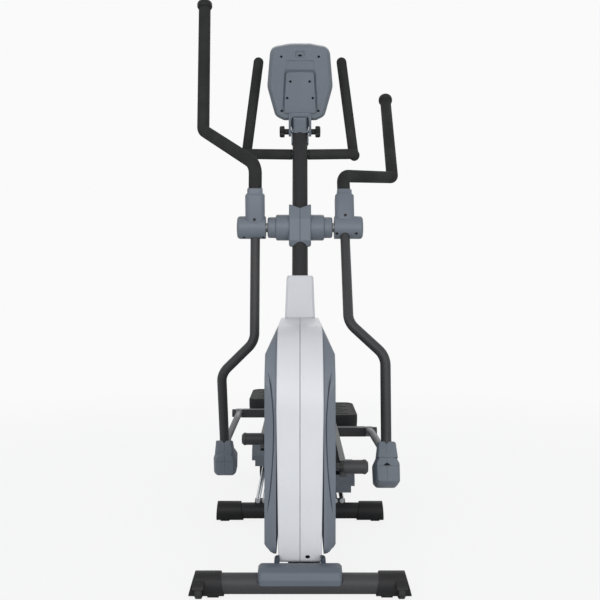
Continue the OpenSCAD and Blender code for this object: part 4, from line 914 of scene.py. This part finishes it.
def housing_back():
    """Back of the console: rings of its outline with a chamfered flank, a sunk trapezoid, the
    raised bracket plate in its crevice, a port recess and screw wells, each a smooth step of
    the distance to its own outline."""
    x, z = plate_grid(HOUSING, np.concatenate([np.linspace(0.02, 0.84, 88), np.linspace(0.85, 1, 26)]))
    rim = np.maximum(signed_distance(x, z, HOUSING), 0)
    trapezoid = rounded_outline([(-56, 84), (56, 84), (43.6, 233), (-43.6, 233)], 6, 4)
    raised = rounded_outline([(-53, 62), (53, 62), (45, 199), (-45, 199)], (8, 8, 9, 9), 5)
    port = rounded_outline([(-13.6, 243.5), (13.6, 243.5), (13.6, 262), (-13.6, 262)], 2, 3)
    slot = rounded_outline([(-5.5, 246), (5.5, 246), (5.5, 251), (-5.5, 251)], 1.2, 2)
    on_plate = signed_distance(x, z, raised)
    step = ramp(on_plate, -0.3, 1.9)
    y = -14 + 12.5 * np.clip(1 - rim / 11.5, 0, 1) + edge_round(rim, 3.0, 3.0)
    y = y + 1.9 * ramp(signed_distance(x, z, trapezoid), -0.9, 0.9)
    y = y + 3.4 * ramp(on_plate, -5.4, -2.6) * (z > 70)
    y = y * (1 - step) + (-19.4 + 6 * edge_round(z - 62, 9, 1.0)) * step
    y = y + 3.4 * ramp(signed_distance(x, z, port), -0.7, 0.7)
    y = y + 2.4 * ramp(signed_distance(x, z, slot), -0.5, 0.5)
    for sx, sz in SCREWS:
        well = np.minimum(np.hypot(x - sx, z - sz), np.hypot(x + sx, z - sz))
        y = y + 2.6 * ramp(-well, -4.6, -3.4)
    parts = [plate(x, y, z, 13.8)]
    ear = rounded_outline([(-17, -15), (15, -15), (16, 40), (-10, 62), (-19, 66), (-21.5, 30)],
                          (15, 14, 3, 2, 3, 10), 8)
    for sign in (-1, 1):
        parts.append(loft(ear, round_edges(29.5, 37, 1.3, 3), lambda g, k=sign: np.stack(
            [k * g[..., 2], g[..., 0], g[..., 1]], -1)))
    bridge = rounded_outline([(-30.5, 67), (-30.5, 42), (-28.5, 42), (-27.5, 55), (27.5, 55),
                              (28.5, 42), (30.5, 42), (30.5, 67)], (1, 0.8, 0.8, 7, 7, 0.8, 0.8, 1), 5)
    parts.append(loft(bridge, round_edges(-21.2, -12, 0.6, 2), on_back))
    u = np.linspace(-1, 1, 41)[None, :]
    v = np.concatenate([np.linspace(2, 46, 12), np.linspace(47, 53, 9)])[:, None]
    crown = 6.2 * np.sqrt(1 - (0.995 * u) ** 2)
    front = -18.1 - crown * np.sqrt(1 - 0.98 * np.clip((v - 47) / 6, 0, 1) ** 2)
    parts.append(relief(np.stack([21.5 * u + 0 * v, front, v + 0 * u], -1),
                        np.stack([21.5 * u + 0 * v, -17.7 + 0 * front, v + 0 * u], -1)))
    piece("housing_back", [on_console(p) for p in parts], SLATE, "console",
          ["console_back"], sharp=40)
    # A block of darker slate behind the bracket's gap paints the shade in that gap
    well = rounded_outline([(-29.8, 19), (29.8, 19), (29.8, 66), (-29.8, 66)], 1, 2)
    piece("bracket_well_shade", [on_console(loft(well, [(-11.5, 0.3), (-11, 0), (13, 0)], on_back))],
          SLATE_DARK_AND_SHADE, "console")
    # The slot and the screws sunk in their wells are near-black: painted shade that makes the holes read
    # black
    dark = [loft(slot, [(-10.6, 0.2), (-9, 0)], on_back)]
    for sx, sz in SCREWS:
        deep = -17.4 if sz in (168, 115) else -12
        dark += [screw_head((k * sx, deep, sz), (0, -1, 0), 3.5, 0.8) for k in (-1, 1)]
    piece("housing_screw_shade", [on_console(p) for p in dark], HOLE_SHADE_BLACK, "console")


def housing_front():
    """Rider's side of the console: a rounded bezel sunk round the window, with a key field."""
    bezel = rounded_outline([(-66, 144), (66, 144), (62, 226), (-62, 226)], 6, 4)
    keys = rounded_outline([(-48, 92), (48, 92), (50, 126), (-50, 126)], 12, 6)
    x, z = plate_grid(HOUSING, np.concatenate([np.linspace(0.02, 0.9, 70), np.linspace(0.91, 1, 18)]))
    rim = np.maximum(signed_distance(x, z, HOUSING), 0)
    face = 33.9 - edge_round(rim, 7, 3.6) - 2.4 * ramp(signed_distance(x, z, bezel), -1.2, 1.2)
    face = face - 0.9 * ramp(signed_distance(x, z, keys), -1.0, 1.0)
    piece("housing_front", [on_console(plate(x, face, z, 14.0))], SLATE, "console",
          ["console_front"], sharp=40)
    glass = rounded_outline([(-60, 150), (60, 150), (60, 220), (-60, 220)], 3, 3)
    pane = loft(glass, round_edges(26, 32.4, 0.6, 2), on_back)
    piece("window", [on_console(pane)], SCREEN, "console", ["console_screen"])


def button(name, body, at_x):
    """Domed round key standing out of the console's face."""
    key = lathe([(26, 9), (35, 9), (36.3, 8.2), (37, 6.4), (37, 2)], 40, (at_x, 0, 108), "y")
    piece(f"key_{name}", [on_console(key)], KEYS, body, [f"button_{name}"])


def knob(side):
    """Lobed clamping knob: rings of radius 18 + 1.6 cos(8a), scaled along its axis, on a collar
    and a threaded shaft."""
    a = np.linspace(0, 2 * np.pi, 96, endpoint=False)
    along = np.array([50.2, 50.6, 52.4, 61.5, 64.6, 66.4, 67.2, 67.4])
    scale = np.array([0.5, 0.88, 1.0, 1.0, 0.97, 0.88, 0.72, 0.3])
    grip = 17.3 + 1.6 * np.cos(8 * a)
    rings = np.stack([along[:, None] + 0 * a, scale[:, None] * grip * np.cos(a),
                      scale[:, None] * grip * np.sin(a)], -1)
    parts = [tube(rings), lathe([(36.9, 8.6), (37.4, 9.4), (49, 9.4), (50.6, 9.4), (50.8, 4)]),
             lathe([(14, 4.9), (37.5, 4.9)])]
    piece(f"clamp_knob_{side}", [sided(shift(p, TILT * (0, 1, 1)), side) for p in parts], BLACK,
          f"knob_{side}", [f"knob_{side}"])


housing_back()
housing_front()
for name, body, at_x in (("down", "down_key", -30), ("mode", "mode_key", 0), ("up", "up_key", 30)):
    button(name, body, at_x)
for each in SIDES:
    knob(each)

# ---------------------------------------------------------------- feet, links, pedals


def link(side):
    """Silver link swept from the crossbar's eye over its bend to the arm's lower eye, round and a little
    thicker in the middle, with a turned eye at each end."""
    joint = joint_at(f"link_{side}_swing")
    angle = {"right": 12.5513, "left": 23.7781}[side]
    reach = 285.3
    path = rounded_path([(216.5, 0, 0), (219, -70, 26), (LOW_X - 2, -reach * 0.62, 16),
                         (LOW_X, -reach + 12, 0)], (60, 60))
    end = np.linalg.norm(np.diff(path, axis=0), axis=1).sum()
    parts = [sweep(path, [(0, 10), (34, 11), (end - 34, 11), (end, 10)], 32, (1, 0.05, 0.1)),
             lathe([(205.6, 13), (206.4, 16), (227.2, 16), (228, 13)]),
             lathe([(LOW_X - 12, 11.5), (LOW_X - 11, 13), (LOW_X + 11, 13), (LOW_X + 12, 11.5)],
                   centre=(0, -reach, 0))]
    at = joint * (0, 1, 1)
    piece(f"link_arm_{side}", [sided(turned(p, angle, at), side) for p in parts], LINK_PAINT,
          f"link_{side}", [f"link_{side}"])


def pedal(side):
    """Pedal: a relief whose rows follow the rounded plan, with a raised rim and slots cut as
    smooth steps, over a skirt that is open underneath."""
    low, high = box_mm(f"pedal_{side}")
    middle = (low + high) / 2
    half_w, half_l, r = (high[0] - low[0]) / 2, (high[1] - low[1]) / 2, 32.0
    slots = np.array([46 + i * (2 * half_l - 92 - 9) / 5 for i in range(6)]) - half_l
    edges = np.concatenate([slots - 0.7, slots + 0.7, slots + 8.3, slots + 9.7])
    v = np.unique(np.concatenate([np.linspace(-1, 1, 61), edges / half_l,
                                  [-0.998, -0.99, -0.975, 0.975, 0.99, 0.998]]))
    u = np.unique(np.concatenate([np.linspace(-1, 1, 41), np.linspace(0.62, 0.86, 24),
                                  [-0.995, -0.98, -0.96, 0.96, 0.98, 0.995],
                                  (26 + np.array([-0.8, 0.8])) / half_w - 1]))
    x = half_w * u[None, :] + 0 * v[:, None]
    corner = np.clip(np.abs(x) - (half_w - r), 0, r)
    y = v[:, None] * (half_l - r + np.sqrt(r * r - corner ** 2))
    plan = rounded_outline([(-half_w, -half_l), (half_w, -half_l), (half_w, half_l), (-half_w, half_l)],
                           r, 10)
    rim = np.maximum(signed_distance(x, y, plan), 0)
    top = high[2] - 3 + 3 * (1 - ramp(rim, 6, 10)) - edge_round(rim, 5, 5)
    lengths = np.array([2 * half_w - (54 if i % 2 == 0 else 72) for i in range(6)])
    inner = x * SIDES[side] + half_w
    for start, length in zip(slots, lengths):
        cut = (ramp(inner, 25.5, 27) * ramp(-inner, -26.5 - length, -25 - length)
               * ramp(y, start - 0.7, start + 0.7) * ramp(-y, -start - 9.7, -start - 8.3))
        top = top - 5 * cut
    deck = relief(np.stack([x, y, top], -1) + middle * (1, 1, 0),
                  np.stack([x, y, np.full_like(x, 266.4)], -1) + middle * (1, 1, 0))
    stations = [(270, 0.2), (262, 0), (low[2] + 3, 1.2), (low[2] + 0.6, 2.4), (low[2], 4),
                (low[2], 6.4), (265, 6)]
    skirt = loft(plan, stations, lambda g: np.stack(
        [g[..., 0] + middle[0], g[..., 1] + middle[1], g[..., 2]], -1))
    piece(f"foot_plate_{side}", [deck, skirt], TREAD, f"beam_{side}",
          [f"pedal_{side}"], sharp=45)
    toe = low[1] + 14
    tray = rounded_outline([(112, toe), (171, toe), (171, toe + 50), (112, toe + 50)], 4, 3)
    parts = [loft(tray, round_edges(226, 232, 1, 2), lambda g: g)]
    for y in (toe + 10, toe + 40):
        parts.append(lathe([(216, 2.6), (217, 3.4), (221, 3.4), (221.2, 6.4), (225.8, 6.4),
                            (226, 3.4), (low[2] + 1, 3.4)], 20, (166, y, 0), "z"))
    piece(f"pedal_bracket_{side}", [sided(p, side) for p in parts], BLACK, f"beam_{side}")


for each in SIDES:
    link(each)
    pedal(each)

# ---------------------------------------------------------------- frame nodes that stay

NODE_FINISH = {
    PAINT: ["front_stabilizer", "arm_tube_left", "arm_tube_right", "crank_arm_left",
            "crank_arm_right", "foot_beam_left", "foot_beam_right"],
    PAINT_DARK: ["main_frame", "mast", "pulse_bar", "rear_stabilizer", "rail_foot"],
    BLACK: ["front_cap_left", "front_cap_right", "rear_caps", "drive_pulley"],
    SLATE: ["console_yoke", "carriage_left", "carriage_right"],
    RUBBER: ["transport_wheel_left", "transport_wheel_right", "roller_left", "roller_right", "belt"],
    CHROME: ["rails_left", "rails_right"],
    STEEL: ["pivot_axle", "crank_axle", "magnet_bracket"],
    IRON: ["flywheel"],
}
for material, names in NODE_FINISH.items():
    for name in names:
        for each in frame["nodes"][name].material_slots:
            each.material = material

# ---------------------------------------------------------------- studio

floor_mesh = bpy.data.meshes.new("floor")
corner = np.array([(-1, -1, 0), (1, -1, 0), (1, 1, 0), (-1, 1, 0)], float) * 30
floor_mesh.from_pydata(corner, [], [(0, 1, 2, 3)])
floor = bpy.data.objects.new("floor", floor_mesh)
scene.collection.objects.link(floor)
paper = Finish("paper_floor")
seen = paper.add("ShaderNodeLightPath", "Is Camera Ray")
far = paper.step(paper.add("ShaderNodeVectorMath", "Value", {"operation": "LENGTH"}, n_0=paper.at),
                 1.2, 3.0)
pale = paper.add("ShaderNodeBsdfDiffuse", Color=(0.86, 0.86, 0.86, 1))
white = paper.add("ShaderNodeEmission", Color=(0.955, 0.955, 0.955, 1), Strength=1.0)
share = seen * (0.9 + 0.1 * far)
blend = paper.add("ShaderNodeMixShader", Fac=share, n_1=pale, n_2=white)
paper.tree.links.new(blend.socket, paper.end.inputs["Surface"])
floor_mesh.materials.append(paper.material)

world = bpy.data.worlds.new("studio")
scene.world = world
world.use_nodes = True
tree = world.node_tree
tree.nodes.clear()
path = tree.nodes.new("ShaderNodeLightPath")
most = tree.nodes.new("ShaderNodeMath")
most.operation = "MAXIMUM"
tree.links.new(path.outputs["Is Camera Ray"], most.inputs[0])
tree.links.new(path.outputs["Is Glossy Ray"], most.inputs[1])
plain, bright = tree.nodes.new("ShaderNodeBackground"), tree.nodes.new("ShaderNodeBackground")
plain.inputs["Color"].default_value = (0.93, 0.96, 1.0, 1)
plain.inputs["Strength"].default_value = 0.5
bright.inputs["Color"].default_value = (0.955, 0.955, 0.955, 1)
both = tree.nodes.new("ShaderNodeMixShader")
tree.links.new(most.outputs[0], both.inputs[0])
tree.links.new(plain.outputs[0], both.inputs[1])
tree.links.new(bright.outputs[0], both.inputs[2])
tree.links.new(both.outputs[0], tree.nodes.new("ShaderNodeOutputWorld").inputs["Surface"])


def softbox(name, place, towards, size, power):
    """Square area lamp aimed at a point."""
    data = bpy.data.lights.new(name, "AREA")
    data.size, data.energy = size, power
    lamp = bpy.data.objects.new(name, data)
    scene.collection.objects.link(lamp)
    lamp.location = place
    aim = Vector(place) - Vector(towards)
    lamp.rotation_euler = aim.to_track_quat("Z", "Y").to_euler()


softbox("key", (-1.3, -3.9, 2.0), (0, 0, 0.7), 2.4, 54)
softbox("fill", (1.5, -3.7, 1.0), (0, 0, 0.55), 2.4, 46)
softbox("back", (0.4, 2.8, 2.6), (0, 0, 0.9), 2.0, 20)

scene.view_settings.view_transform = "Standard"
